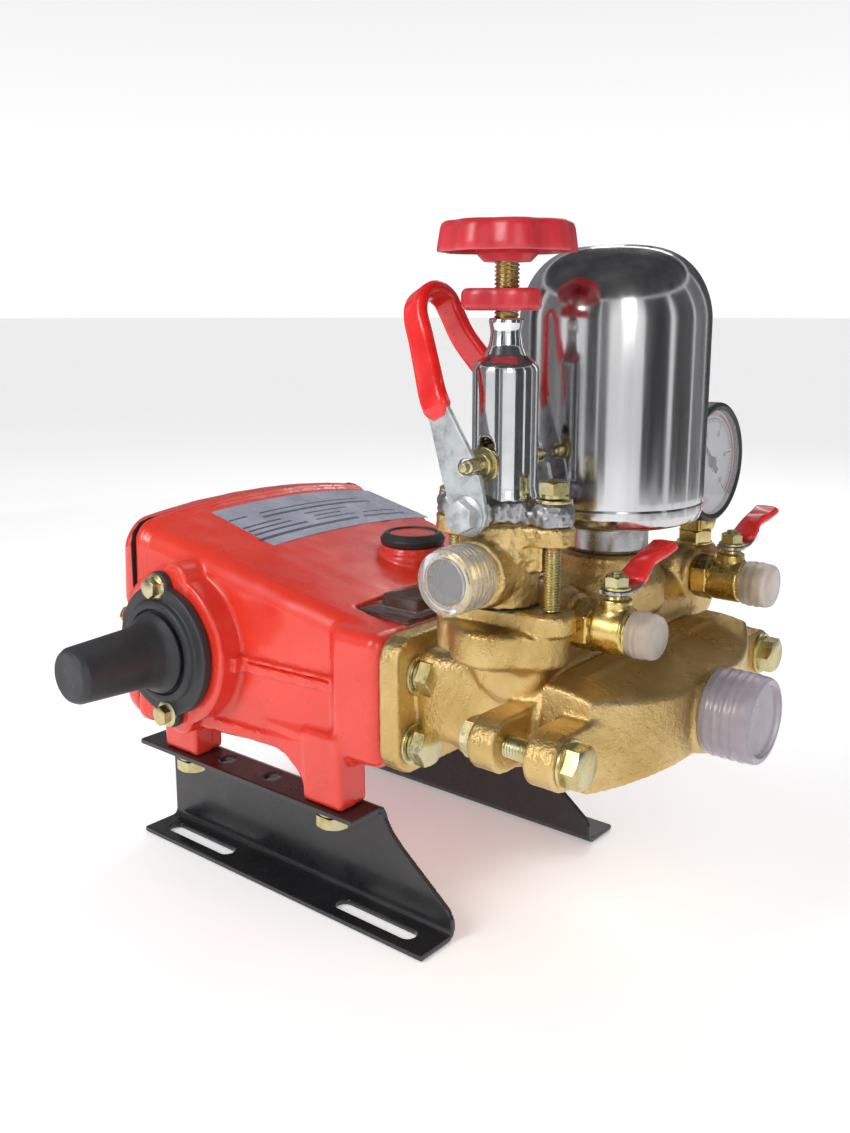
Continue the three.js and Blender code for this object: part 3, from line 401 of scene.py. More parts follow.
COVER_CLEAR = finish(
    "smoked_cover", [(0.40, 0.30, 0.28), (0.50, 0.40, 0.37), (0.60, 0.50, 0.47)], (0.04, 0.12),
    [(120.0, 0.10, 0.5)], mottle=30.0, Transmission_Weight=0.92, IOR=1.45,
)
RUBBER = finish(
    "nitrile_rubber", [(0.010, 0.010, 0.010), (0.018, 0.018, 0.018), (0.028, 0.028, 0.028)], (0.55, 0.75),
    [(1500.0, 0.25, 0.2)], mottle=60.0,
)
CERAMIC = finish(
    "ground_ceramic", [(0.74, 0.72, 0.66), (0.82, 0.80, 0.75), (0.86, 0.85, 0.81)], (0.12, 0.22),
    [(2500.0, 0.05, 0.05)], mottle=50.0,
)
LABEL = finish(
    "label_foil", [(0.30, 0.32, 0.40), (0.38, 0.40, 0.49), (0.46, 0.48, 0.57)], (0.22, 0.36),
    [(900.0, 0.05, 0.1)], mottle=35.0, Metallic=0.25, Coat_Weight=0.4,
)
LABEL_INK = finish(
    "label_ink", [(0.05, 0.05, 0.08), (0.08, 0.07, 0.11), (0.12, 0.10, 0.14)], (0.35, 0.5),
    [(1500.0, 0.05, 0.1)], mottle=300.0,
)
DIAL = finish(
    "dial_enamel", [(0.90, 0.92, 0.92), (0.94, 0.95, 0.95), (0.96, 0.97, 0.97)], (0.35, 0.5),
    [(1500.0, 0.05, 0.05)], mottle=60.0,
)
DIAL_RED = finish(
    "dial_red", [(0.65, 0.03, 0.03), (0.75, 0.05, 0.05), (0.80, 0.08, 0.07)], (0.4, 0.5),
    [(1500.0, 0.05, 0.05)],
)
DIAL_YELLOW = finish(
    "dial_yellow", [(0.75, 0.45, 0.02), (0.82, 0.55, 0.04), (0.85, 0.62, 0.08)], (0.4, 0.5),
    [(1500.0, 0.05, 0.05)],
)
DIAL_GREEN = finish(
    "dial_green", [(0.02, 0.28, 0.12), (0.04, 0.34, 0.16), (0.06, 0.40, 0.2)], (0.4, 0.5),
    [(1500.0, 0.05, 0.05)],
)
# A near-black brown, painted shade for the inside of a bore.
HOLE_SHADE = finish(
    "painted_hole_shade", [(0.020, 0.012, 0.008), (0.035, 0.020, 0.013), (0.050, 0.032, 0.020)], (0.3, 0.6),
    [(500.0, 0.2, 0.4)], mottle=40.0,
)


# ---------------------------------------------------------------- mesh pieces
def piece(name, shape, material, body, replaces=(), sharp=38.0):
    """A named piece from (vertices, faces) in design millimetres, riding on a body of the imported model."""
    vertices, faces = shape
    mesh = bpy.data.meshes.new(name)
    places = (np.asarray(vertices) + SHIFT) * MM
    mesh.from_pydata(places.tolist(), [], [list(map(int, face)) for face in faces])
    mesh.materials.append(material)
    mesh.polygons.foreach_set("use_smooth", [True] * len(mesh.polygons))
    mesh.set_sharp_from_angle(angle=math.radians(sharp))
    made = bpy.data.objects.new(name, mesh)
    bpy.context.scene.collection.objects.link(made)
    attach(made, body)
    if replaces:
        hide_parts(*replaces)
    return made


def casting(name, field, low, high, step, material, body, replaces=(), rough=0.0, size=6.0, sharp=50.0):
    """A piece whose shape is a field, with lumps of a given height and size on its surface."""
    points, faces = surface(field, low, high, step)
    for _ in range(2):
        points = points - slope(field, points) * np.clip(field(*points.T), -step, step)[:, None]
    if rough:
        points = points + slope(field, points) * (lumps(points, size) * rough)[:, None]
    return piece(name, (points, faces), material, body, replaces, sharp)


def merge(*shapes):
    """Several (vertices, faces) as one."""
    vertices, faces, start = [], [], 0
    for points, polygons in shapes:
        vertices.append(np.asarray(points, float))
        faces += [[start + int(i) for i in polygon] for polygon in polygons]
        start += len(points)
    return np.concatenate(vertices), faces


TURNS = {
    "z": lambda a, b, c: (a, b, c),
    "-z": lambda a, b, c: (a, -b, -c),
    "x": lambda a, b, c: (c, a, b),
    "-x": lambda a, b, c: (-c, a, -b),
    "y": lambda a, b, c: (b, c, a),
    "-y": lambda a, b, c: (b, -c, -a),
}


def put(shape, origin, axis="z"):
    """Stands a shape made about +Z at an origin, along another axis."""
    points = np.asarray(shape[0], float)
    return np.stack(TURNS[axis](*points.T), 1) + np.asarray(origin, float), shape[1]


def soften(profile, steps=5):
    """A polyline with a rounded corner wherever a point carries a third number, the radius."""
    made = []
    count = len(profile)
    for i, point in enumerate(profile):
        here = np.array(point[:2], float)
        if len(point) < 3 or i in (0, count - 1):
            made.append(tuple(here))
            continue
        before = np.array(profile[i - 1][:2], float) - here
        after = np.array(profile[i + 1][:2], float) - here
        lengths = np.linalg.norm(before), np.linalg.norm(after)
        before, after = before / lengths[0], after / lengths[1]
        half = math.acos(max(-1.0, min(1.0, float(before @ after)))) / 2
        if abs(half - math.pi / 2) < 1e-3:
            made.append(tuple(here))
            continue
        back = min(point[2] / math.tan(half), 0.49 * lengths[0], 0.49 * lengths[1])
        radius = back * math.tan(half)
        middle = here + (before + after) / np.linalg.norm(before + after) * radius / math.sin(half)
        start, end = here + before * back - middle, here + after * back - middle
        angle0 = math.atan2(start[1], start[0])
        sweep = (math.atan2(end[1], end[0]) - angle0 + math.pi) % (2 * math.pi) - math.pi
        for k in range(steps + 1):
            angle = angle0 + sweep * k / steps
            made.append((middle[0] + radius * math.cos(angle), middle[1] + radius * math.sin(angle)))
    return made


def rings(levels, closed=False):
    """A skin over rings of points. A ring of one point closes an end, and closed joins the last ring to
    the first."""
    vertices = np.concatenate([np.asarray(level, float).reshape(-1, 3) for level in levels])
    starts = np.cumsum([0] + [len(level) for level in levels])
    faces = []
    pairs = list(zip(range(len(levels) - 1), range(1, len(levels))))
    if closed:
        pairs.append((len(levels) - 1, 0))
    for low, high in pairs:
        n, m, a, b = len(levels[low]), len(levels[high]), starts[low], starts[high]
        for i in range(max(n, m)):
            j = (i + 1) % max(n, m)
            if n == 1:
                faces.append((a, b + j, b + i))
            elif m == 1:
                faces.append((a + i, a + j, b))
            else:
                faces.append((a + i, a + j, b + j, b + i))
    return vertices, faces


def circle(sides):
    angle = np.arange(sides) * 2 * math.pi / sides
    return np.cos(angle), np.sin(angle), angle


def lathe(profile, sides=64, closed=False):
    """A body turned about +Z. The profile runs with the metal on its left, so its outside goes up."""
    cosine, sine, _ = circle(sides)
    levels = []
    for radius, height in soften(profile):
        if radius < 1e-4:
            levels.append([(0.0, 0.0, height)])
        else:
            levels.append(np.stack([radius * cosine, radius * sine, np.full(sides, height)], 1))
    return rings(levels, closed)


def polar(levels, sides, closed=False):
    """A body about +Z through rings given as (radius, height), where either may be a function of the
    angle. A closed one is a ring whose last level joins its first."""
    cosine, sine, angle = circle(sides)
    made = []
    for radius, height in levels:
        r = radius(angle) if callable(radius) else np.full(sides, float(radius))
        z = height(angle) if callable(height) else np.full(sides, float(height))
        if np.max(r) < 1e-4:
            made.append([(0.0, 0.0, float(z[0]))])
        else:
            made.append(np.stack([r * cosine, r * sine, z], 1))
    return rings(made, closed)


def hex_head(across, height, z0=0.0):
    """A hexagon head with the usual curved chamfer round its top."""
    flat = across / 2

    def radius(angle):
        return flat / np.cos(angle % (math.pi / 3) - math.pi / 6)

    def shoulder(angle):
        return z0 + height - np.maximum(radius(angle) - flat * 0.97, 0) * 0.62

    def top(angle):
        return np.minimum(radius(angle), flat * 0.97)

    return polar([(0, z0), (radius, z0), (radius, shoulder), (top, z0 + height), (0, z0 + height)], 72)


def disc(radius, z0, z1, edge=0.4, inner=0.0, sides=64):
    """A washer or a plain disc with eased edges."""
    if inner:
        ring = [(inner, z0), (radius, z0, edge), (radius, z1, edge), (inner, z1)]
        return lathe(ring, sides, closed=True)
    return lathe([(0, z0), (radius, z0, edge), (radius, z1, edge), (0, z1)], sides)


def thread(radius, pitch, depth, z0, z1, sides=40, per_turn=8, lead=0.8):
    """A real helical thread on a solid core, with a short plain lead at each end."""
    rows = int(round((z1 - z0) / pitch * per_turn))
    _, _, angle = circle(sides)
    levels = [(0, z0)]
    for row in range(rows + 1):
        z = z0 + (z1 - z0) * row / rows
        phase = (z / pitch - angle / (2 * math.pi)) % 1.0
        groove = np.clip(1.4 * (1 - np.abs(2 * phase - 1)) - 0.2, 0, 1) * depth
        ends = min(1.0, (z - z0) / lead, (z1 - z) / lead)
        r = radius - groove - (1 - ends) * depth
        levels.append((lambda _angle, r=r: r, z))
    levels.append((0, z1))
    return polar(levels, sides)


def split_washer(inner, outer, thickness, z0):
    """A spring washer: one turn of square wire with its ends a little apart."""
    levels = []
    for k in range(49):
        angle = math.radians(8 + 344 * k / 48)
        z = z0 + 0.9 * k / 48
        corners = ((inner, z), (outer, z), (outer, z + thickness), (inner, z + thickness))
        levels.append([(r * math.cos(angle), r * math.sin(angle), h) for r, h in corners])
    shape = rings(levels)
    last = len(shape[0]) - 4
    faces = list(shape[1]) + [(3, 2, 1, 0), (last, last + 1, last + 2, last + 3)]
    return shape[0], [tuple(reversed(face)) for face in faces]


def bolt(across, head, washer=0.0, spring=False, flange=0.0):
    """A hexagon bolt head from its seat upwards, with the washers under it."""
    parts = []
    z = 0.0
    if washer:
        parts.append(disc(washer, z, z + 1.6, inner=across * 0.25))
        z += 1.6
    if spring:
        parts.append(split_washer(across * 0.3, across * 0.5, 1.5, z))
        z += 2.4
    if flange:
        skirt = [(0, z), (flange, z), (flange, z + 0.9, 0.4), (across * 0.52, z + 1.9), (0, z + 1.9)]
        parts.append(lathe(skirt))
        z += 1.6
    parts.append(hex_head(across, head, z))
    return merge(*parts)


def fastener(name, shape, origin, axis="z", replaces=()):
    """A zinc plated fastener of the pump, stood at an origin along an axis."""
    piece(name, put(shape, origin, axis), ZINC_YELLOW, "pump", replaces)


def sweep(path, wide, section):
    """A section of (across, through) points carried along a path, its across direction given at each point."""
    path = np.asarray(path, float)
    ahead = np.gradient(path, axis=0)
    ahead /= np.linalg.norm(ahead, axis=1, keepdims=True)
    levels = []
    for point, forward, across in zip(path, ahead, np.asarray(wide, float)):
        across = across - forward * (across @ forward)
        across /= np.linalg.norm(across)
        through = np.cross(forward, across)
        levels.append([point + across * u + through * v for u, v in section(len(levels) / (len(path) - 1))])
    centre0, centre1 = np.mean(levels[0], axis=0), np.mean(levels[-1], axis=0)
    return rings([[centre0]] + levels + [[centre1]])


def rounded_bar(width, thickness, corner, steps=4):
    """The points round a rectangle with rounded corners."""
    points = []
    for quarter, (su, sv) in enumerate(((1, 1), (-1, 1), (-1, -1), (1, -1))):
        for k in range(steps + 1):
            angle = math.pi / 2 * (quarter + k / steps)
            u = su * (width / 2 - corner) + corner * math.cos(angle)
            points.append((u, sv * (thickness / 2 - corner) + corner * math.sin(angle)))
    return points


def curve_points(points, per_span=8):
    """A smooth curve through some points."""
    p = np.asarray(points, float)
    p = np.concatenate([[2 * p[0] - p[1]], p, [2 * p[-1] - p[-2]]])
    made = []
    for i in range(1, len(p) - 2):
        for k in range(per_span):
            t = k / per_span
            a, b, c, d = p[i - 1], p[i], p[i + 1], p[i + 2]
            second, third = 2 * a - 5 * b + 4 * c - d, 3 * b - a - 3 * c + d
            made.append(0.5 * (2 * b + (c - a) * t + second * t**2 + third * t**3))
    made.append(p[-2])
    return np.array(made)


# ---------------------------------------------------------------- mounting brackets
BRACKET = {"rear": -110.0, "front": 110.0, "top_front": 63.0, "height": 60.0, "web": 66.1, "lip": 91.7}
SLOTS = ((-94.0, -48.0), (47.0, 91.0))
TOP_HOLES = (-76.0, -45.0, -8.0, 39.5)


def bracket_field(side):
    """A folded steel bracket: an upright web between two lips that point outwards on that side."""
    b = BRACKET
    centre = [(b["lip"], 1.5), (b["web"] + 4, 1.5), (b["web"] + 1.2, 2.7), (b["web"], 5.5)]
    centre += [(v, b["height"] - w) for v, w in reversed(centre)]
    front = [(70, 140), (63, 140), (63, 60), (65, 52), (69, 46), (76, 39.5), (102, 19.5), (107, 15.5)]
    front += [(109.5, 11), (110, 7), (110, -20), (160, -20), (160, 140)]

    def strip(x, y, z):
        v = y * side
        nearest = np.full(x.shape, 1e9)
        for (av, aw), (bv, bw) in zip(centre, centre[1:]):
            ev, ew = bv - av, bw - aw
            t = np.clip(((v - av) * ev + (z - aw) * ew) / (ev * ev + ew * ew), 0, 1)
            nearest = np.minimum(nearest, np.hypot(v - av - t * ev, z - aw - t * ew))
        flat_end = np.maximum(nearest - 1.5, v - b["lip"])
        return rounded(flat_end, between(x, b["rear"], b["front"]), 0.5)

    holes = [bar("z", (x0, 80 * side), (x1, 80 * side), 4.8, -9, 9) for x0, x1 in SLOTS]
    holes += [rod("z", x, 79 * side, 4.5, 50, 70) for x in TOP_HOLES]
    return cut(strip, *holes, sheet("y", front, -120, 120, 0.1), k=0.5)


for side, name in SIDES:
    low = (-111, -92.5 if side < 0 else 64, -0.5)
    high = (111, -64 if side < 0 else 92.5, 60.5)
    casting(
        "folded_bracket_" + name, bracket_field(side), low, high, 1.0, BLACK_PAINT, "pump",
        ["bracket_" + name],
    )


# ---------------------------------------------------------------- crankcase
CASE = {"rear": -100.0, "front": 79.0, "bottom": 76.0, "length": 158.0, "top": 192.5, "fall": 35.5}


def crown(y):
    """How far the crowned top and rear cover stand above their flat height, at that width."""
    return 8.0 * (1 - np.clip(np.abs(y) / 94, 0, 1) ** 2.2)


def case_body(x, y, z, grow=0.0):
    """The tapering body: wide and high over the crankshaft, narrow and low at the valve block."""
    t = np.clip((x - CASE["rear"]) / CASE["length"], -0.1, 1.15)
    half = 98 - 14.5 * t + grow
    low = CASE["bottom"] + 8 * t - grow
    high = CASE["top"] - CASE["fall"] * t + crown(y) * (1 - 0.45 * t) + grow
    lean = 0.035 * (z - CASE["bottom"])
    section = rounded(np.abs(y) - half + lean, np.abs(z - (low + high) / 2) - (high - low) / 2, 9.5)
    return rounded(section * 0.975, between(x, CASE["rear"], 70), 2.0)


def both(a, b):
    return lambda x, y, z: np.maximum(a(x, y, z), b(x, y, z))


def grown(amount, x0, x1):
    """The outer skin of the crankcase moved out, between two places along it."""
    return lambda x, y, z: np.maximum(case_body(x, y, z, amount), between(x, x0, x1))


def case_field():
    boss = [rod("y", CRANK_X, AXIS_Z, 43.5, -BOSS_FACE, BOSS_FACE, 1.6)]
    for side in (-1, 1):
        span = (-BOSS_FACE, -60) if side < 0 else (60, BOSS_FACE)
        for lobe_x, lobe_z in COVER_LOBES:
            lobe = (CRANK_X + lobe_x + (8 if lobe_z > 0 else 2), AXIS_Z + lobe_z * 1.06)
            boss.append(bar("y", (CRANK_X, AXIS_Z), lobe, 11.0, *span, 1.6))
    front = slab(44.5, CASE["front"], -88, 88, 89, 158.5, 7)
    band = slab(-60, 46, -120, 120, 122.5, 130.5, 0.8)
    ribs = [both(rod("y", CRANK_X, AXIS_Z, 46.5, s * 78.5 - 18, s * 78.5 + 18, 1.0), band) for s in (-1, 1)]
    ribs.append(cut(both(grown(3.0, -40, 60), band), slab(-14, 44, -120, 120, 127.4, 128.6, 0.2)))
    ribs.append(both(grown(1.8, -60, 58), slab(-60, 58, -120, 120, 84, 91, 2.0)))
    feet = []
    for s in (-1, 1):
        inner, outer = sorted((s * 68, s * 88))
        skirt_in, skirt_out = sorted((s * 77, s * 88))
        arch = [(-62, 56), (26, 56), (26, 66), (22, 74), (12, 81), (-4, 85.5), (-22, 88), (-54, 88)]
        arch += [(-60, 86), (-62, 81)]
        skirt = slab(-90, 53, skirt_in, skirt_out, 60.3, 98, 2.0)
        feet.append(cut(skirt, sheet("y", arch, -120, 120, 0.3), k=1.5))
        feet.append(slab(-90, -62, inner, outer, 60.3, 95, 2.2))
        feet.append(slab(26, 53, inner, outer, 60.3, 100, 2.2))
    filler = [rod("z", 15, 15, 18.4, 150, 179.6, 1.2), rod("z", 15, 15, 20.4, 150, 176.0, 2.0)]
    outside = blend(4.0, blend(2.2, case_body, *boss, *feet), front)
    outside = blend(1.2, outside, grown(1.2, -101, -94.5), grown(0.5, -101, -91.5), *ribs, *filler)
    hollow = [
        grown(-7.0, -110, -14), rod("y", CRANK_X, AXIS_Z, 31.3, -120, 120, 0.3),
        slab(52, 90, -70, 70, 102, 151, 4), slab(47, 73, -57, 57, 139, 180, 3),
        slab(42, 78.8, -64, 64, 159, 200, 1.0),
        rod("z", 15, 15, 10, 139, 200, 0.3), slab(-150, CASE["rear"], -150, 150, 0, 300, 0.3),
        *[rod("x", y, AXIS_Z, 16.4, -30, 80, 0.3) for y in CYLINDERS],
    ]
    return cut(outside, *hollow, k=0.8)


casting(
    "crankcase_casting", case_field(), (-101, -105, 59), (80, 105, 203), 1.4, RED_PAINT, "pump",
    ["crankcase"], rough=0.10, size=16,
)


REAR_BOLTS = tuple((s * y, z) for s in (-1, 1) for y, z in ((91, 136), (52, 188), (52, 86)))


def rear_cover_field():
    def shell(x, y, z):
        depth = np.clip((-101.6 - x) / 13.0, 0, 1)
        grow = -2.2 * depth**4
        half = 98 + grow - 0.035 * (z - CASE["bottom"])
        low, high = CASE["bottom"] - grow, CASE["top"] + crown(y) + grow
        section = rounded(np.abs(y) - half, np.abs(z - (low + high) / 2) - (high - low) / 2, 11 + 5 * depth)
        return rounded(section * 0.95, between(x, -114.8, -101.4), 1.8)

    pads = [rod("x", y, z, 10.5, -130, -111.6, 0.8) for y, z in REAR_BOLTS]
    sight = rod("x", 0, 118, 17, -117.2, -104, 1.2)
    panel = slab(-130, -112.9, -58, 58, 147, 172, 3)
    inside = slab(-110.5, -90, -80, 80, 90, 182, 8)
    recess = cut(shell, panel, *pads, k=1.5)
    return cut(blend(1.5, recess, sight), inside, rod("x", 0, 118, 12.5, -130, -114.5, 0.4), k=0.8)


casting(
    "rear_cover_casting", rear_cover_field(), (-118, -99, 75), (-101, 99, 203), 1.2, RED_PAINT, "pump",
    ["rear_cover"], rough=0.08, size=16,
)
for number, (y, z) in enumerate(REAR_BOLTS):
    fastener(f"rear_cover_bolt_{number + 1}", bolt(10, 4.2, flange=7.4), (-111.7, y, z), "-x")
SIGHT = (-114.4, 0, 118)
glass = lathe([(0, 0), (12, 0), (12, 1.2, 0.5), (8, 1.8), (0, 2.2)])
piece("oil_sight_glass", put(glass, SIGHT, "-x"), CLEAR, "pump")
ring = lathe([(9.5, 0), (12.3, 0), (12.3, 2.6, 0.6), (9.5, 2.6, 0.6)], closed=True)
piece("oil_sight_ring", put(ring, SIGHT, "-x"), BLACK_PLASTIC, "pump")

# The oil filler cap: a black ring round a red lid.
FILLER = (15, 15, 179.9)
ring = [(9.4, 0), (18.3, 0, 0.8), (19.0, 3.4, 1.2), (15.8, 7.0, 0.9), (14.2, 6.9, 0.5), (13.6, 6.0), (9.4, 5.2)]
piece("filler_cap_ring", put(lathe(ring, 72, closed=True), FILLER), BLACK_PLASTIC, "pump",
      ["oil_filler_cap"])
lid = [(0, 3.0), (13.4, 3.0), (13.4, 6.1, 0.4), (8, 6.3), (0, 6.4)]
piece("filler_cap_lid", put(lathe(lid, 72), FILLER), RED_PAINT, "pump")

# The clear cover over the plunger ends: a flat tray with a raised window.
COVER_X, COVER_Z = 60.3, 159.2


def rectangle(half_x, half_y, corner, z):
    return [(u, v, z) for u, v in rounded_bar(2 * half_x, 2 * half_y, corner)]


tray = [
    rectangle(17.8, 63.4, 1.5, 0.0), rectangle(17.8, 63.4, 1.5, 2.6), rectangle(17.4, 63.0, 1.5, 3.0),
    rectangle(12.7, 50.7, 1.5, 3.0), rectangle(12.2, 50.2, 1.5, 3.4), rectangle(11.8, 49.8, 1.5, 8.6),
    rectangle(11.2, 49.2, 1.5, 9.2), [(0, 0, 9.2)],
]
under = [rectangle(16.6, 62.2, 1.5, 0.0), rectangle(16.6, 62.2, 1.5, 1.6), rectangle(11.0, 49.0, 1.5, 1.6),
         rectangle(10.4, 48.4, 1.5, 7.8), [(0, 0, 7.8)]]
cover = rings([under[-1]] + under[-2::-1] + tray)
piece("splash_window", put(cover, (COVER_X, 0, COVER_Z)), COVER_CLEAR, "pump",
      ["splash_cover"])

# A blank rating plate on the sloping top, with plain bars where a real one has words.
LABEL_X, LABEL_Y = (-86.0, -33.0), (-50.0, 88.0)


def case_top(x, y):
    t = (x - CASE["rear"]) / CASE["length"]
    return CASE["top"] - CASE["fall"] * t + float(crown(y)) * (1 - 0.45 * t)


def on_top(x0, x1, y0, y1, lift, thickness):
    """A thin plate laid on the crowned top of the crankcase."""
    columns, rows = 12, 30
    levels = []
    for k in range(rows + 1):
        y = y0 + (y1 - y0) * k / rows
        line = [x0 + (x1 - x0) * i / columns for i in range(columns + 1)]
        upper = [(x, y, case_top(x, y) + lift + thickness) for x in line]
        lower = [(x, y, case_top(x, y) + lift) for x in reversed(line)]
        levels.append(upper + lower)
    ends = [np.mean(levels[0], axis=0)], [np.mean(levels[-1], axis=0)]
    return rings([ends[0]] + levels + [ends[1]])


piece("rating_plate", on_top(*LABEL_X, *LABEL_Y, 0.05, 0.35), LABEL, "pump")
bars = [(-43.5, -40.8, -52, 30), (-43.5, -41.4, 36, 74), (-49.5, -47.6, -50, -8), (-49.5, -48.2, 0, 34),
        (-49.5, -48.2, 42, 72), (-54.5, -53.0, -50, -16), (-54.5, -53.2, 4, 26), (-59.5, -58.0, -50, -20),
        (-59.5, -58.2, 0, 36), (-66.5, -64.2, -28, 66), (-71.5, -70.2, -50, -36), (-71.5, -70.2, -26, 60)]
piece("rating_plate_lines", merge(*[on_top(*line, 0.41, 0.06) for line in bars]), LABEL_INK, "pump")

# ---------------------------------------------------------------- bearing covers and shaft cap


def bearing_cover_field(side, bored):
    """The cover on that side, with two bolt lobes and a stepped hub round the shaft."""
    face = BOSS_FACE + 0.3

    def at(w0, w1):
        return sorted((side * (face + w0), side * (face + w1)))

    plate = rod("y", CRANK_X, AXIS_Z, 36.5, *at(0, 5.8), 1.4)
    step = rod("y", CRANK_X, AXIS_Z, 29.0, *at(0, 9.2), 2.4)
    dish = rod("y", CRANK_X, AXIS_Z, 24.0, *at(7.4, 20), 0.8)
    lobes = []
    for lobe_x, lobe_z in COVER_LOBES:
        place = (CRANK_X + lobe_x, AXIS_Z + lobe_z)
        lobes.append(bar("y", place, (CRANK_X, AXIS_Z), 8.4, *at(0, 5.0), 1.4))
    whole = cut(blend(1.5, plate, step, *lobes), dish, k=0.8)
    if bored:
        return cut(whole, rod("y", CRANK_X, AXIS_Z, 13.1, *at(-5, 20), 0.4))
    return cut(whole, rod("y", CRANK_X, AXIS_Z, 15, *at(6.4, 20), 0.6), k=1.2)


for side, name in SIDES:
    y0, y1 = sorted((side * BOSS_FACE, side * (BOSS_FACE + 11)))
    casting(
        "bearing_cover_casting_" + name, bearing_cover_field(side, side < 0), (CRANK_X - 38, y0, AXIS_Z - 46),
        (CRANK_X + 38, y1, AXIS_Z + 46), 0.9, BLACK_PLASTIC, "pump",
        ["bearing_cover_" + name],
    )
    for number, (lobe_x, lobe_z) in enumerate(COVER_LOBES):
        place = (CRANK_X + lobe_x, side * (BOSS_FACE + 5.4), AXIS_Z + lobe_z)
        axis = "-y" if side < 0 else "y"
        fastener(f"cover_bolt_{name}_{number + 1}", bolt(10, 4.6, flange=7.6), place, axis)

cap = [(0, 60.8), (12.9, 60.8), (12.9, 9.8), (22.6, 9.8, 0.6), (22.6, 11.2, 1.0), (18.6, 15.0, 9),
       (17.0, 24, 20), (15.2, 60.6, 1.2), (13.4, 64.2, 2.4), (6, 63.9, 3), (0, 63.9)]
piece("shaft_sleeve", put(lathe(cap, 72), (CRANK_X, -BOSS_FACE, AXIS_Z), "-y"), BLACK_PLASTIC, "crank",
      ["shaft_cap"])

# ---------------------------------------------------------------- valve block and suction manifold


def panel_x(x0, x1, half, low, high, corner, edge):
    """A flat plate across X with round corners."""

    def field(x, y, z):
        section = rounded(np.abs(y) - half, np.abs(z - (low + high) / 2) - (high - low) / 2, corner)
        return rounded(section, between(x, x0, x1), edge)

    return field


def valve_block_field():
    flange = panel_x(79.4, 91.4, 88, 89, 159, 13.0, 1.8)
    core = slab(90, 162, -74, 74, 106, 152, 8)
    barrels = [rod("x", y, AXIS_Z, 26.5, 86, 160, 4) for y in CYLINDERS]
    towers = [rod("z", 128, y, 25.5, 101.5, 172, 5) for y in CYLINDERS]
    tower_rims = [rod("z", 128, y, 27, 163, 170, 2.5) for y in CYLINDERS]
    gallery = rod("y", 146, 160, 21.5, -78, 96, 5)
    joint_face = bar("x", (-55, AXIS_Z), (55, AXIS_Z), 26, 156, 168, 1.2)
    lugs = [bar("x", (s * 60, AXIS_Z), (s * 98, AXIS_Z), 12.5, 150, 164, 2.0) for s in (-1, 1)]
    chamber_boss = [rod("z", CHAMBER_X, CHAMBER_Y, 25.5, 170, 196, 2.5)]
    chamber_boss.append(rod("z", CHAMBER_X, CHAMBER_Y, 29, 165, 186, 5))
    step_low = bar("z", (REG_X - 21, REG_Y), (REG_X + 21, REG_Y), 13.5, 158, 173.5, 2.2)
    step_top = bar("z", (REG_X - STUD_REACH, REG_Y), (REG_X + STUD_REACH, REG_Y), 11.0, 173, 183, 1.8)
    waist = rod("z", REG_X, REG_Y, 24, 156, 174, 4)
    cocks = [rod("x", y, COCK_Z, 13.5, 140, 168, 2.5) for y in COCKS]
    cocks += [rod("x", y, COCK_Z, 16.0, 140, 162, 4.0) for y in COCKS]
    gauge_boss = [rod("z", 154, 94, 11.5, 160, 186, 1.5), rod("z", 154, 94, 14.5, 176.5, 183.5, 1.5)]
    metal = blend(5.0, core, *barrels, *towers, gallery, *chamber_boss, waist, *gauge_boss[:1])
    metal = blend(3.0, metal, flange, joint_face, *lugs, *cocks, step_low, *tower_rims)
    metal = blend(1.6, metal, step_top, gauge_boss[1])
    bores = [rod("x", y, AXIS_Z, 13.3, 70, 152, 0.3) for y in CYLINDERS]
    bores += [rod("x", y, AXIS_Z, 15, 148, 170, 0.3) for y in CYLINDERS]
    bores += [rod("z", 128, y, 13, 150, 165, 0.3) for y in CYLINDERS]
    bores += [rod("z", REG_X, REG_Y, 7, 166, 190, 0.3), rod("x", COCKS[0], COCK_Z - 6, 5, 150, 175, 0.3)]
    bores += [rod("x", y, AXIS_Z, 21.3, 70, 102, 0.3) for y in CYLINDERS]
    return cut(metal, *bores, k=0.8)


casting(
    "valve_block_casting", valve_block_field(), (78, -112, 86), (179, 112, 198), 1.15, GOLD_CAST, "pump",
    ["valve_block"], rough=0.10, size=2.6,
)


def manifold_field():
    def bowed(x, y, z):
        bow = np.clip((np.abs(y) - 26) / 54, 0, 1.2) ** 1.6
        front = 212 - 19 * bow
        top = 153.5 - 7.5 * np.clip((x - 176) / 34, 0, 1) ** 1.5
        low = 107.5 + 4.0 * np.clip((x - 190) / 22, 0, 1) ** 2
        upright = np.maximum(np.maximum(x - front, 168.5 - x) * 0.96, np.abs(y) - 80)
        flat = np.abs(z - (top + low) / 2) - (top - low) / 2
        return rounded(upright, flat * 0.97, 2.6)

    back = bar("x", (-55, AXIS_Z), (55, AXIS_Z), 25.5, 168.5, 182, 2.0)
    lugs = [bar("x", (s * 62, AXIS_Z), (s * 98, AXIS_Z), 12.5, 179, 194.5, 2.0) for s in (-1, 1)]
    webs = [bar("z", (184, s * 96), (190, s * 64), 6.5, 122, 140, 2.0) for s in (-1, 1)]
    neck = [rod("x", 0, AXIS_Z, 21.5, 190, 214.5, 3.5), rod("x", 0, AXIS_Z, 18, 200, 222, 0.8)]
    metal = blend(3.0, bowed, back, *lugs, *webs, *neck)
    hollow = [rod("x", 0, AXIS_Z, 12.5, 188, 240, 0.5)]
    hollow += [rod("x", y, AXIS_Z, 11, 160, 184, 0.5) for y in CYLINDERS]
    return cut(metal, *hollow, k=0.8)


casting(
    "suction_manifold_casting", manifold_field(), (167, -112, 103), (222, 112, 156), 1.15, GOLD_CAST, "pump",
    ["suction_manifold"], rough=0.10, size=2.6,
)
port = put(thread(18, 2.3, 1.1, 0, 15.5, 72), (218.5, 0, AXIS_Z), "x")
piece("suction_port_thread", port, BRASS, "pump")


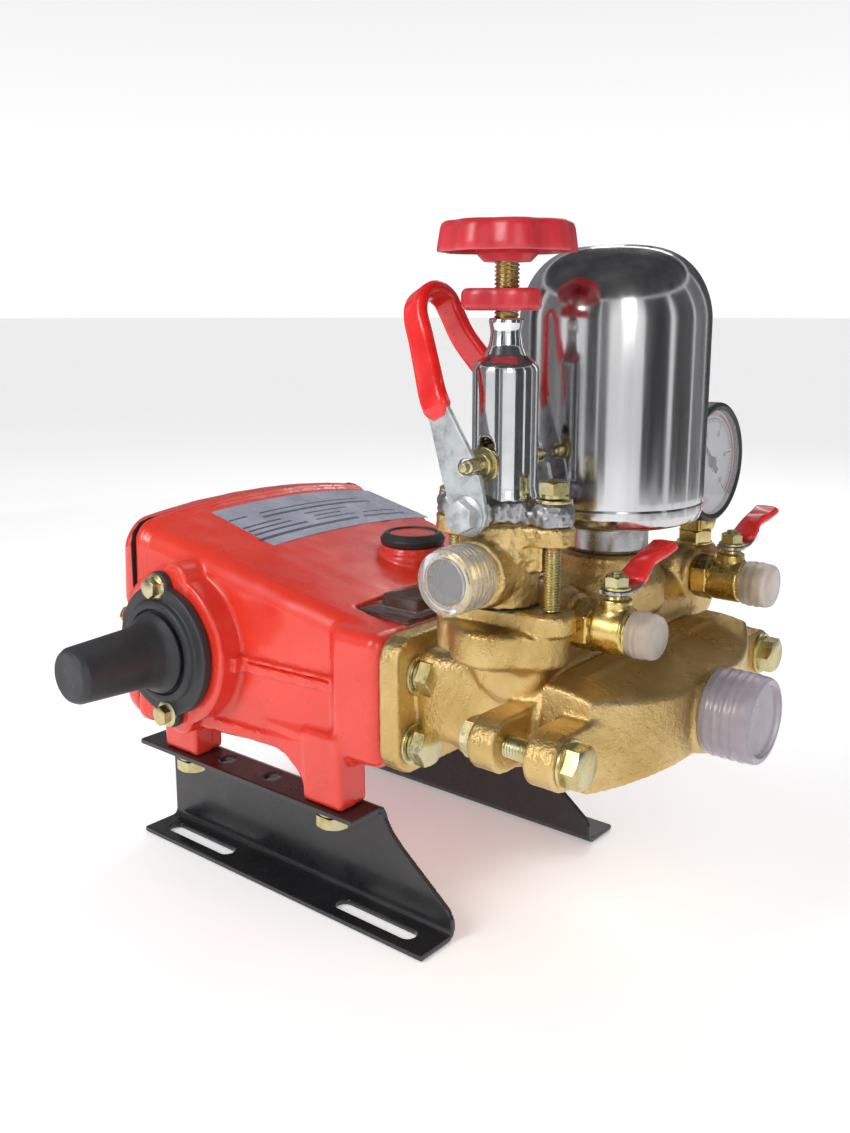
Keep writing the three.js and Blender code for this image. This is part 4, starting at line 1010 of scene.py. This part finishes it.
def screw_cap(radius, length, wall, ribs, dish):
    """A moulded cap about +Z with its open end at 0: thread ridges show as rings round it, and its face
    is dished."""
    outer = [(radius, 0.0, 0.4)]
    pitch = (length - 7) / max(ribs, 1)
    for k in range(ribs):
        z = 2 + k * pitch
        outer += [(radius, z), (radius + 0.45, z + pitch * 0.25, 0.3), (radius + 0.45, z + pitch * 0.5, 0.3),
                  (radius, z + pitch * 0.75)]
    outer += [(radius, length - 3), (radius - 0.6, length - 0.4, 1.4), (radius - 3.5, length, 1.0)]
    outer += [(radius - 4.6, length - dish, 0.8), (0, length - dish)]
    inside = [(0, length - dish - wall), (radius - wall - 3.6, length - dish - wall, 0.8),
              (radius - wall - 2.4, length - wall, 0.8), (radius - wall, length - 3.4, 1.0),
              (radius - wall, 0.0)]
    return lathe(inside + outer, 72)


piece("suction_screw_cap", put(screw_cap(20.6, 24.5, 1.3, 4, 2.2), (214.2, 0, AXIS_Z), "x"), CLEAR_BLUE, "pump",
      ["suction_cap"])

# Fasteners of the block, the manifold and the feet.
for number, (y, z) in enumerate(((-70, 138.5), (-74.5, 104), (70, 138.5), (74.5, 104))):
    fastener(f"block_bolt_{number + 1}", bolt(17, 7.2, washer=11, spring=True), (91.4, y, z), "x")
for side, name in SIDES:
    head = put(bolt(17, 7.2, washer=11), (194.5, side * 98, AXIS_Z), "x")
    shank = put(thread(5, 1.5, 0.5, 0, 36), (160, side * 98, AXIS_Z), "x")
    nut = put(hex_head(17, 6.5), (150, side * 98, AXIS_Z), "-x")
    fastener("manifold_bolt_" + name, merge(head, shank, nut), (0, 0, 0))
    for number, x in enumerate((-76, 39.5)):
        head = bolt(17, 6.6, washer=10.5, spring=True)
        fastener(f"foot_bolt_{name}_{number + 1}", head, (x, side * 79, 57.0), "-z")

# ---------------------------------------------------------------- pressure regulator


def regulator_field():
    flange = bar("z", (REG_X - STUD_REACH, REG_Y), (REG_X + STUD_REACH, REG_Y), 9.6, 213, 221.7, 1.4)
    waist = rod("z", REG_X, REG_Y, 19.5, 205, 221.7, 2.0)
    barrel = rod("z", REG_X, REG_Y, 16.5, 183.4, 221.7, 1.0)
    neck = [rod("y", REG_X, OVERFLOW_Z, 15.8, -90.5, REG_Y, 2.2)]
    neck.append(rod("y", REG_X, OVERFLOW_Z, 13.0, -96, REG_Y, 0.5))
    web = slab(REG_X - 24, REG_X + 24, REG_Y - 3.5, REG_Y + 3.5, 200, 216, 2.0)
    metal = blend(3.0, barrel, waist, flange, neck[0], web)
    metal = blend(0.8, metal, neck[1])
    bores = [rod("z", REG_X, REG_Y, 10, 189, 230, 0.3), rod("z", REG_X, REG_Y, 6, 180, 200, 0.3)]
    bores += [rod("y", REG_X, OVERFLOW_Z, 10.9, -120, -84, 0.3)]
    bores += [rod("z", REG_X + s * STUD_REACH, REG_Y, 4.4, 200, 230, 0.3) for s in (-1, 1)]
    return cut(metal, *bores, k=0.8)


casting(
    "regulator_casting", regulator_field(), (101, -98, 183), (176, -50, 222), 0.9, GOLD_CAST, "pump",
    ["regulator_body"], rough=0.20, size=4.0,
)
ridges = [point for k in range(7) for point in ((13.4, 0.6 + 1.8 * k), (12.2, 1.5 + 1.8 * k))]
port = lathe([(11.0, 0.0), (13.0, 0.0)] + ridges + [(12.6, 14.2, 0.6), (11.0, 14.2, 0.4)], 72, closed=True)
piece("overflow_thread", put(port, (REG_X, -94.5, OVERFLOW_Z), "-y"), BRASS, "pump")
# A dark disc closing the overflow bore, painted shade standing in for the depth of the hole.
piece("overflow_bore_shade", put(disc(10.9, 0, 1.2, 0.2), (REG_X, -99, OVERFLOW_Z), "-y"), HOLE_SHADE, "pump")
piece("overflow_screw_cap", put(screw_cap(14.5, 20.6, 0.9, 5, 1.6), (REG_X, -92.0, OVERFLOW_Z), "-y"), CLEAR,
      "pump", ["overflow_cap"])
gaskets = merge(disc(17.4, 182.9, 183.4, 0.1), disc(14.6, 221.7, 222.1, 0.1))
piece("regulator_gasket", put(gaskets, (REG_X, REG_Y, 0)), RUBBER, "pump")


def cover_flange_field():
    flange = bar("z", (REG_X - STUD_REACH, REG_Y), (REG_X + STUD_REACH, REG_Y), 8.6, 222.1, 229.0, 1.2)
    pads = [rod("z", REG_X + s * STUD_REACH, REG_Y, 8.4, 222.1, 232, 1.4) for s in (-1, 1)]
    collar = rod("z", REG_X, REG_Y, 17.5, 222.1, 232.2, 2.2)
    ears = [rod("y", REG_X, PIVOT_Z, 5.2, *sorted((REG_Y, REG_Y + s * 24.6)), 0.8) for s in (-1, 1)]
    bosses = [rod("y", REG_X, PIVOT_Z, 7.5, *sorted((REG_Y + s * 12, REG_Y + s * 21)), 2.0) for s in (-1, 1)]
    holes = [rod("z", REG_X + s * STUD_REACH, REG_Y, 4.4, 210, 240, 0.3) for s in (-1, 1)]
    holes.insert(0, rod("z", REG_X, REG_Y, 11, 210, 250, 0.3))
    return cut(blend(2.5, flange, *pads, collar, *ears, *bosses), *holes)


casting(
    "cover_flange_casting", cover_flange_field(), (102, -94, 221), (175, -42, 236), 0.8, CAST_STEEL, "pump",
    ["spring_cover"], rough=0.28, size=3.2,
)
TUBE = soften([
    (11.0, 231.0), (15.4, 231.0), (15.4, 233.2, 1.0), (14.6, 236.5, 4), (14.6, 290.5, 6.5), (9.9, 294.0, 3.0),
    (7.6, 299.0, 7.0), (6.8, 304.0, 9.0), (7.7, 309.0, 0.8), (7.5, 310.3, 0.7), (5.9, 310.3), (5.9, 288.0),
    (11.0, 286.0),
], steps=8)
tube_slot = bar("y", (REG_X, PIN_Z - 2.5), (REG_X, PIN_Z + 8), 3.7, -120, 0)
casting(
    "spring_tube", cut(spun(REG_X, REG_Y, TUBE), tube_slot, k=1.0), (123, -84, 230), (154, -52, 311), 0.7,
    CHROME, "pump", sharp=60,
)
for side, name in ((-1, "1"), (1, "2")):
    place = (REG_X + side * STUD_REACH, REG_Y, 0)
    parts = [thread(4, 1.25, 0.55, 183.4, 232, 32), put(bolt(13, 5.4, washer=8.2, spring=True), (0, 0, 232.1))]
    fastener("regulator_stud_" + name, merge(*parts), place, "z", ["regulator_bolt_" + name])

pin = lathe([(0, -31), (2.1, -31, 0.5), (2.1, -28.2), (3.0, -27.6, 0.3), (3.0, 27.6, 0.3), (2.1, 28.2),
             (2.1, 31, 0.5), (0, 31)], 40)
washers = [disc(7.6, 14.6, 16.4, 0.4, 3.05), disc(5.4, 16.5, 18.6, 1.0, 3.05)]
flipped = [put(washer, (0, 0, 0), "-z") for washer in washers]
piece("cross_pin", put(merge(pin, *washers, *flipped), (REG_X, REG_Y, PIN_Z), "y"), ZINC_YELLOW, "unloader",
      ["lift_pin"])

screw = thread(5.5, 1.75, 0.8, 282.2, 348.6, 40)
piece("adjusting_screw", put(screw, (REG_X, REG_Y, 0)), ZINC_YELLOW, "adjuster",
      ["adjusting_spindle"])


def lobes(count, depth, softness=1.0):
    """The share of a radius that is left at each angle, with hollows at a regular spacing."""

    def share(angle):
        return 1 - depth * (0.5 - 0.5 * np.cos(count * angle)) ** softness

    return share


wheel_share = lobes(8, 0.075, 1.6)


def wheel(radius, ease=0.0):
    """A ring of the handwheel, whose scallops die out by ease from 0 to 1."""
    return lambda angle: radius * (ease + (1 - ease) * wheel_share(angle))


wheel_levels = [
    (6.0, 334.0), (10.2, 334.0), (13.4, 337.2), (13.4, 345.0), (24.5, 346.4), (wheel(27.2), 344.0),
    (wheel(28.2), 339.6), (wheel(28.9), 338.1), (wheel(30.2), 338.1), (wheel(30.6), 338.9),
    (wheel(30.1), 342.0), (wheel(29.2), 347.8), (wheel(28.4), 349.9),
    (wheel(27.0), 350.8), (wheel(24.5, 0.3), 350.9), (wheel(22.5, 0.6), 350.2),
    (14.0, 349.6), (12.0, 350.2), (6.0, 350.2),
]
piece("handwheel_moulding", put(polar(wheel_levels, 144, closed=True), (REG_X, REG_Y, 0)), RED_PLASTIC,
      "adjuster", ["handwheel"], sharp=42)

nut_share = lobes(3, 0.36, 1.0)


def nut(radius):
    return lambda angle: radius * nut_share(angle + math.radians(20))


nut_levels = [
    (5.7, 313.5), (nut(17.0), 313.5), (nut(18.6), 313.9), (nut(19.7), 315.0), (nut(19.9), 316.5),
    (nut(19.9), 320.0), (nut(19.6), 321.6), (nut(18.4), 322.8), (nut(16.8), 323.0), (5.7, 323.0),
]
piece("lock_nut_moulding", put(polar(nut_levels, 144, closed=True), (REG_X, REG_Y, 0)), RED_PLASTIC, "nut",
      ["lock_nut"], sharp=42)

# ---------------------------------------------------------------- unloader lever
LEG = [(9.4, -2.0), (10.0, 1.0), (8.6, 9.0), (6.7, 16.5), (1.7, 27), (-9.5, 44), (-13, 49), (-25, 45),
       (-21, 39), (-15.5, 20), (-9.6, 1.5)]
for k in range(11):
    bend = math.radians(180 + 18 * k - 5)
    LEG.append((9.6 * math.cos(bend), 9.6 * math.sin(bend)))
SWING = 62.0


def leg_field(side):
    """One flat leg, less the path that the cross pin takes through it as the lever comes down."""
    y0, y1 = sorted((REG_Y + side * 25.0, REG_Y + side * 27.5))
    points = [(REG_X + u, PIVOT_Z + w) for u, w in LEG]
    path = []
    for swing in range(-4, int(SWING) + 5, 6):
        reach = PIN_Z - PIVOT_Z + 5 * max(swing, 0) / SWING
        turn = math.radians(swing)
        u, w = REG_X + reach * math.sin(turn), PIVOT_Z + reach * math.cos(turn)
        path.append(rod("y", u, w, 3.5, -130, 0, 0.1))
    return cut(sheet("y", points, y0, y1, 0.5), *path, k=0.4)


for side, name in SIDES:
    y0, y1 = sorted((REG_Y + side * 24.5, REG_Y + side * 28))
    casting(
        "lever_leg_" + name, leg_field(side), (REG_X - 27, y0, PIVOT_Z - 11), (REG_X + 12, y1, PIVOT_Z + 51),
        0.8, ZINC_WHITE, "lever", ["lever_strap"] if side < 0 else [], sharp=60,
    )
    axis = "-y" if side < 0 else "y"
    piece("lever_pivot_" + name, put(bolt(13, 5.4, flange=8.9), (REG_X, REG_Y + side * 27.5, PIVOT_Z), axis),
          ZINC_WHITE, "lever")

HALF_HOOP = [(-15.2, 26.2, 41), (-20, 26.0, 50), (-28, 20.5, 62), (-35.5, 15.5, 74), (-40.5, 13.2, 85),
             (-42, 9.0, 92.0)]
mirrored = [(u, -v, w) for u, v, w in HALF_HOOP]
hoop = curve_points(mirrored + [(-42.2, 0, 95.2)] + HALF_HOOP[::-1], 8)
wide = []
for height in hoop[:, 2]:
    lean = 0.42 + 0.1 * (height - 41) / 54
    wide.append((math.cos(lean), 0.0, math.sin(lean)))


def grip_section(share):
    """The dipped strap: wide on its legs, a little narrower over the top, with closed round ends."""
    end = min(1.0, 0.55 + 12 * min(share, 1 - share))
    width = (14.6 - 2.2 * math.sin(math.pi * share)) * end
    return rounded_bar(width, 6.2 * end, 2.9 * end, 5)


sleeve = sweep(hoop, wide, grip_section)
piece("lever_sleeve", put(sleeve, (REG_X, REG_Y, PIVOT_Z)), RED_VINYL, "lever", ["lever_grip"],
      sharp=60)

# ---------------------------------------------------------------- air chamber
dome = []
for k in range(17):
    turn = math.pi / 2 * k / 16
    dome.append((46 * math.cos(turn) ** 0.62 if k < 16 else 0.0, 309 + 35 * math.sin(turn) ** 1.12))
shell = [(0, 211.6), (19.5, 211.6), (26, 211.6, 3), (39, 211.9, 3), (44.2, 213.8, 2.2), (45.7, 218.0, 1.5),
         (45.7, 221.4), (45.2, 221.9), (45.9, 222.6, 0.4), (46, 226.0)]
piece("chamber_shell", put(lathe(soften(shell) + dome, 128), (CHAMBER_X, CHAMBER_Y, 0)), STAINLESS, "pump",
      ["air_chamber"], sharp=30)
collar = [(8, 196.3), (19.4, 196.3, 0.8), (20.2, 198, 0.6), (20.2, 208.0, 1.2), (18.6, 209.8, 0.8),
          (19.6, 211.8), (8, 211.8)]
piece("chamber_collar", put(lathe(collar, 96, closed=True), (CHAMBER_X, CHAMBER_Y, 0)), STEEL, "pump")

# ---------------------------------------------------------------- pressure gauge
bezel = [(0, -24), (29.5, -24, 2.5), (31.3, -21, 2), (31.3, -8.5, 0.8), (32.5, -7.6, 0.8), (32.5, -1.6, 1.4),
         (30.6, -0.05, 0.8), (28.6, -1.2, 0.8), (28.2, -5.9), (0, -5.9)]
piece("gauge_shell", put(lathe(bezel, 128), GAUGE, "x"), BLACK_PLASTIC, "pump", ["gauge_case"])
piece("gauge_dial", put(disc(28.1, -5.8, -5.3, 0.05, sides=96), GAUGE, "x"), DIAL, "pump")
piece("gauge_lens", put(lathe([(0, -2.4), (28.4, -2.4), (28.4, -1.4), (20, -1.0), (0, -0.8)], 96), GAUGE, "x"),
      CLEAR, "pump")
DIAL_LEVEL = -5.28
FULL_SCALE = 270.0


def on_dial(turn):
    """A direction on the dial: turn is in degrees clockwise from its zero, seen from in front."""
    return math.radians(225 - turn)


def dial_arc(inner, outer, turn0, turn1, lift=0.05):
    steps = max(2, int(abs(turn1 - turn0) / 3))
    levels = []
    for k in range(steps + 1):
        a = on_dial(turn0 + (turn1 - turn0) * k / steps)
        corners = ((inner, 0), (outer, 0), (outer, lift), (inner, lift))
        levels.append([(r * math.cos(a), r * math.sin(a), DIAL_LEVEL + h) for r, h in corners])
    vertices, faces = rings(levels)
    last = len(vertices) - 4
    return vertices, list(faces) + [(3, 2, 1, 0), (last, last + 1, last + 2, last + 3)]


ticks = []
for k in range(51):
    turn = FULL_SCALE * k / 50
    length, thick = (4.2, 0.9) if k % 10 == 0 else (2.2, 0.45)
    ticks.append(dial_arc(23.6 - length, 23.6, turn - thick, turn + thick))
piece("dial_ticks", put(merge(*ticks, dial_arc(23.4, 23.8, 0, FULL_SCALE)), GAUGE, "x"), BLACK_PLASTIC, "pump")
piece("dial_yellow_arc", put(dial_arc(25.0, 26.8, 60, 150), GAUGE, "x"), DIAL_YELLOW, "pump")
piece("dial_red_arc", put(dial_arc(25.0, 26.8, 152, FULL_SCALE), GAUGE, "x"), DIAL_RED, "pump")
piece("dial_green_arc", put(dial_arc(25.0, 26.8, 20, 58), GAUGE, "x"), DIAL_GREEN, "pump")
for k, words in enumerate(("0", "10", "20", "30", "40", "50")):
    text = bpy.data.curves.new("dial_number_" + words, "FONT")
    text.body = words
    text.size = 4.6 * MM
    text.align_x = "CENTER"
    text.align_y = "CENTER"
    text.extrude = 0.03 * MM
    made = bpy.data.objects.new("dial_number_" + words, text)
    bpy.context.scene.collection.objects.link(made)
    a = on_dial(FULL_SCALE * k / 5)
    spot = (np.array(GAUGE) + SHIFT + (DIAL_LEVEL, 16.2 * math.cos(a), 16.2 * math.sin(a))) * MM
    facing = Matrix(((0, 0, 1, 0), (1, 0, 0, 0), (0, 1, 0, 0), (0, 0, 0, 1)))
    made.matrix_world = Matrix.Translation(spot) @ facing
    text.materials.append(LABEL_INK)
    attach(made, "pump")

blade = [(-1.5, -8), (1.5, -8), (1.0, 0), (0.75, 14), (0.15, 23.2), (-0.15, 23.2), (-0.75, 14), (-1.0, 0)]
rest = math.radians(45)
c, s = math.cos(rest), math.sin(rest)
blade_levels = [[(-(u * c + w * s), w * c - u * s, h) for u, w in blade] for h in (-4.6, -4.1)]
needle = rings([[(0, 0, -4.6)]] + blade_levels + [[(0, 0, -4.1)]])
needle_hub = lathe([(0, -5.2), (3.0, -5.2), (3.0, -3.5, 0.5), (0, -3.3)], 40)
piece("gauge_pointer", put(merge(needle, needle_hub), GAUGE, "x"), BLACK_PLASTIC, "needle",
      ["gauge_needle"])

STEM = (154.0, 94.0, 0.0)
stem = merge(
    disc(9.6, 186.1, 187.6, 0.5), hex_head(17, 6.5, 187.6), thread(6.5, 1.8, 0.6, 194, 200, 40),
    lathe([(0, 199), (6.5, 199), (6.5, 204, 1), (4.6, 206, 1), (0, 206)], 40),
)
piece("gauge_union", put(stem, STEM), BRASS, "pump", ["gauge_stem"])


def elbow_field():
    square = slab(147.5, 160.5, 87.5, 100.5, 190.5, 204, 2.0)
    return blend(1.5, square, rod("y", 154, 197, 7.0, 94, 106, 0.8))


casting("gauge_elbow", elbow_field(), (146, 86, 189), (162, 107, 206), 0.8, BRASS, "pump")

# ---------------------------------------------------------------- delivery cocks
for number, y in enumerate(COCKS, 1):
    seat = hexagon("x", y, COCK_Z, 21, 168.3, 177.0, 0.8)
    spigot = rod("x", y, COCK_Z, 9.6, 165.5, 180, 0.6)
    body = rod("x", y, COCK_Z, 11.0, 178.2, 194.0, 1.6)
    neck = rod("z", COCK_STEM_X, y, 7.0, COCK_Z, COCK_Z + 14.5, 0.7)
    gland = rod("z", COCK_STEM_X, y, 5.2, COCK_Z, COCK_Z + 16.4, 0.5)
    spout = rod("x", y, COCK_Z, 9.0, 190, 196, 0.5)
    bores = (rod("x", y, COCK_Z, 5, 160, 210, 0.3), rod("z", COCK_STEM_X, y, 3.4, COCK_Z, 210, 0.1))
    shape = blend(1.2, blend(1.8, body, neck), gland, spout, spigot)
    ball = rod("x", y, COCK_Z, 8.6, 178.5, 193, 4.0)
    casting(
        f"cock_casting_{number}", cut(blend(0.6, shape, seat), *bores, ball, k=0.5),
        (165, y - 14, COCK_Z - 14), (197, y + 14, COCK_Z + 17), 0.7, BRASS, "pump",
        [f"cock_body_{number}"], rough=0.05, size=5, sharp=45,
    )
    tail = put(thread(9.2, 1.8, 0.9, 194.0, 204.0, 56), (0, y, COCK_Z), "x")
    piece(f"cock_thread_{number}", tail, BRASS, "pump")
    cap = screw_cap(10.2, 12.4, 0.7, 2, 0.5) if number == 1 else screw_cap(11.3, 14.6, 0.9, 2, 0.5)
    piece(f"cock_screw_cap_{number}", put(cap, (195.4, y, COCK_Z), "x"), FROSTED,
          "pump", [f"cock_cap_{number}"])

    origin = (COCK_STEM_X, y, COCK_Z)
    spine = [(0, -6.0, 17.9), (0, 0, 17.9), (0, 6, 17.9), (0, 11, 18.6), (0, 16, 21.8), (0, 20, 24.4)]
    strap_path = curve_points(spine, 6)
    across = np.tile((1.0, 0.0, 0.0), (len(strap_path), 1))
    strap = sweep(strap_path, across, lambda share: rounded_bar(13.0 if share > 0.12 else 11.0, 1.7, 0.8, 3))
    eye = disc(7.2, 17.0, 18.8, 0.4)
    piece(f"cock_strap_{number}", put(merge(strap, eye), origin), STEEL, f"cock_{number}",
          [f"cock_lever_{number}"], sharp=45)
    spine = [(0, 11.5, 19.6), (0, 17, 22.6), (0, 23, 26.6), (0, 30, 28.4), (0, 37, 29.6), (0, 47, 32.0)]
    grip_path = curve_points(spine, 7)
    across = np.tile((1.0, 0.0, 0.0), (len(grip_path), 1))

    def dipped(share):
        end = min(1.0, 0.5 + 9 * min(share, 1 - share))
        width = 13.4 - 1.8 * math.sin(math.pi * share) + 0.7 * math.sin(9 * share)
        return rounded_bar(width * end, (4.6 + 0.5 * math.sin(13 * share)) * end, 2.0 * end, 4)

    piece(f"cock_grip_{number}", put(sweep(grip_path, across, dipped), origin), RED_VINYL, f"cock_{number}",
          sharp=60)
    top = merge(disc(6.4, 18.9, 20.2, 0.3), put(hex_head(10, 4.6), (0, 0, 20.3)),
                thread(3, 1.0, 0.4, 24, 26.6, 28))
    piece(f"cock_nut_{number}", put(top, origin), ZINC_YELLOW, f"cock_{number}")

# ---------------------------------------------------------------- CAD pieces that keep their shape
KEPT = {
    "crankshaft": STEEL, "main_bearing_near": STEEL, "main_bearing_far": STEEL, "rear_gasket": RUBBER,
    "regulator_spring": STEEL, "spring_seat": STEEL, "unloader_valve": BRASS, "cock_ball_1": CHROME,
    "cock_ball_2": CHROME,
}
for i in (1, 2, 3):
    KEPT.update({
        f"big_end_{i}": STEEL, f"connecting_rod_{i}": STEEL, f"plunger_{i}": CERAMIC,
        f"plunger_packing_{i}": RUBBER, f"suction_valve_{i}": STEEL, f"discharge_valve_{i}": STEEL,
    })
for name, material in KEPT.items():
    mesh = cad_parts[name].data
    mesh.materials.clear()
    mesh.materials.append(material)

# ---------------------------------------------------------------- floor, light and camera
PALE = finish(
    "pale_floor", [(0.90, 0.90, 0.90), (0.92, 0.92, 0.92), (0.94, 0.94, 0.94)], (0.62, 0.72),
    [(60.0, 0.02, 0.5)], mottle=2.0, Emission_Color=(1.0, 1.0, 1.0, 1.0), Emission_Strength=0.30,
)
cosine, sine, _ = circle(96)
floor_mesh = bpy.data.meshes.new("floor")
floor_mesh.from_pydata([(30 * c, 30 * s, -0.0006) for c, s in zip(cosine, sine)], [], [tuple(range(96))])
floor_mesh.materials.append(PALE)
floor = bpy.data.objects.new("floor", floor_mesh)
bpy.context.scene.collection.objects.link(floor)

# The studio is bright round the horizon and darker overhead.
world = bpy.data.worlds.new("studio")
world.use_nodes = True
tree = world.node_tree
place = tree.nodes.new("ShaderNodeTexCoord")
split = tree.nodes.new("ShaderNodeSeparateXYZ")
shade = tree.nodes.new("ShaderNodeValToRGB")
tree.links.new(place.outputs["Generated"], split.inputs[0])
tree.links.new(split.outputs["Z"], shade.inputs[0])
tree.links.new(shade.outputs[0], tree.nodes["Background"].inputs["Color"])
shade.color_ramp.elements[0].position = 0.10
shade.color_ramp.elements[0].color = (0.96, 0.96, 0.96, 1)
shade.color_ramp.elements[1].position = 0.70
shade.color_ramp.elements[1].color = (0.42, 0.42, 0.43, 1)
tree.nodes["Background"].inputs["Strength"].default_value = 1.08
bpy.context.scene.world = world
bpy.context.scene.view_settings.view_transform = "Standard"


def soft_light(name, azimuth, elevation, distance, width, height, power):
    """An area light at a direction round the pump, aimed at its middle."""
    a, e = math.radians(azimuth), math.radians(elevation)
    target = Vector((0, 0, 0.16))
    away = Vector((math.sin(a) * math.cos(e), -math.cos(a) * math.cos(e), math.sin(e)))
    data = bpy.data.lights.new(name, "AREA")
    data.shape = "RECTANGLE"
    data.size, data.size_y = width, height
    data.energy = power
    made = bpy.data.objects.new(name, data)
    made.location = target + away * distance
    made.rotation_euler = away.to_track_quat("Z", "Y").to_euler()
    bpy.context.scene.collection.objects.link(made)


soft_light("key", -14, 34, 1.5, 0.45, 0.8, 9.5)
soft_light("fill", 50, 24, 1.6, 0.35, 1.0, 3.0)
soft_light("back", 200, 40, 1.6, 0.6, 0.6, 5)


CARD_DISTANCE, CARD_HEIGHT = 1.3, 1.0  # metres


def card(name, start, end, shade):
    """A curved wall that only glossy reflections see, between two directions round the pump."""
    steps = max(2, int((end - start) / 6))
    corners = []
    for k in range(steps + 1):
        a = math.radians(start + (end - start) * k / steps)
        x, y = CARD_DISTANCE * math.sin(a), -CARD_DISTANCE * math.cos(a)
        corners += [(x, y, 0.0), (x, y, CARD_HEIGHT)]
    faces = [(2 * k, 2 * k + 2, 2 * k + 3, 2 * k + 1) for k in range(steps)]
    reflected_sheet(corners, faces, name, shade)


def reflected_sheet(corners, faces, name, shade):
    """A sheet that hides from the camera and from every light path but glossy reflections."""
    mesh = bpy.data.meshes.new(name)
    mesh.from_pydata(corners, [], faces)
    mesh.materials.append(shade)
    made = bpy.data.objects.new(name, mesh)
    bpy.context.scene.collection.objects.link(made)
    made.visible_camera = False
    made.visible_diffuse = False
    made.visible_shadow = False
    made.visible_transmission = False


FLAG = finish(
    "dark_card", [(0.03, 0.031, 0.034), (0.05, 0.05, 0.052), (0.08, 0.08, 0.082)], (0.7, 0.9),
    [(40.0, 0.1, 1.0)], mottle=3.0,
)
GREY_FLAG = finish(
    "grey_card", [(0.14, 0.145, 0.15), (0.18, 0.18, 0.185), (0.23, 0.23, 0.235)], (0.7, 0.9),
    [(40.0, 0.1, 1.0)], mottle=3.0,
)
CARDS = ((-150, -92, GREY_FLAG), (-90, -74, FLAG), (-66, -32, GREY_FLAG), (2, 16, FLAG), (18, 28, GREY_FLAG),
         (68, 98, FLAG), (104, 132, FLAG), (135, 160, GREY_FLAG), (163, 205, FLAG))
for number, (start, end, shade) in enumerate(CARDS):
    card(f"card_{number + 1}", start, end, shade)
ceiling = [(1.25 * c, 1.25 * s, 1.05) for c, s in zip(cosine, sine)]
reflected_sheet(ceiling, [tuple(range(96))], "card_overhead", FLAG)

CAMERA_PLACE = (0.36086, -0.44886, 0.31559)  # metres
CAMERA_BACK = (0.6225, -0.7565, 0.2004)  # from the pump towards the camera
camera_data = bpy.data.cameras.new("camera")
camera_data.sensor_width = 36.0
camera_data.lens = 35.25
camera_data.shift_y = -0.030
camera = bpy.data.objects.new("camera", camera_data)
camera.location = CAMERA_PLACE
camera.rotation_euler = Vector(CAMERA_BACK).to_track_quat("Z", "Y").to_euler()
bpy.context.scene.collection.objects.link(camera)
bpy.context.scene.camera = camera
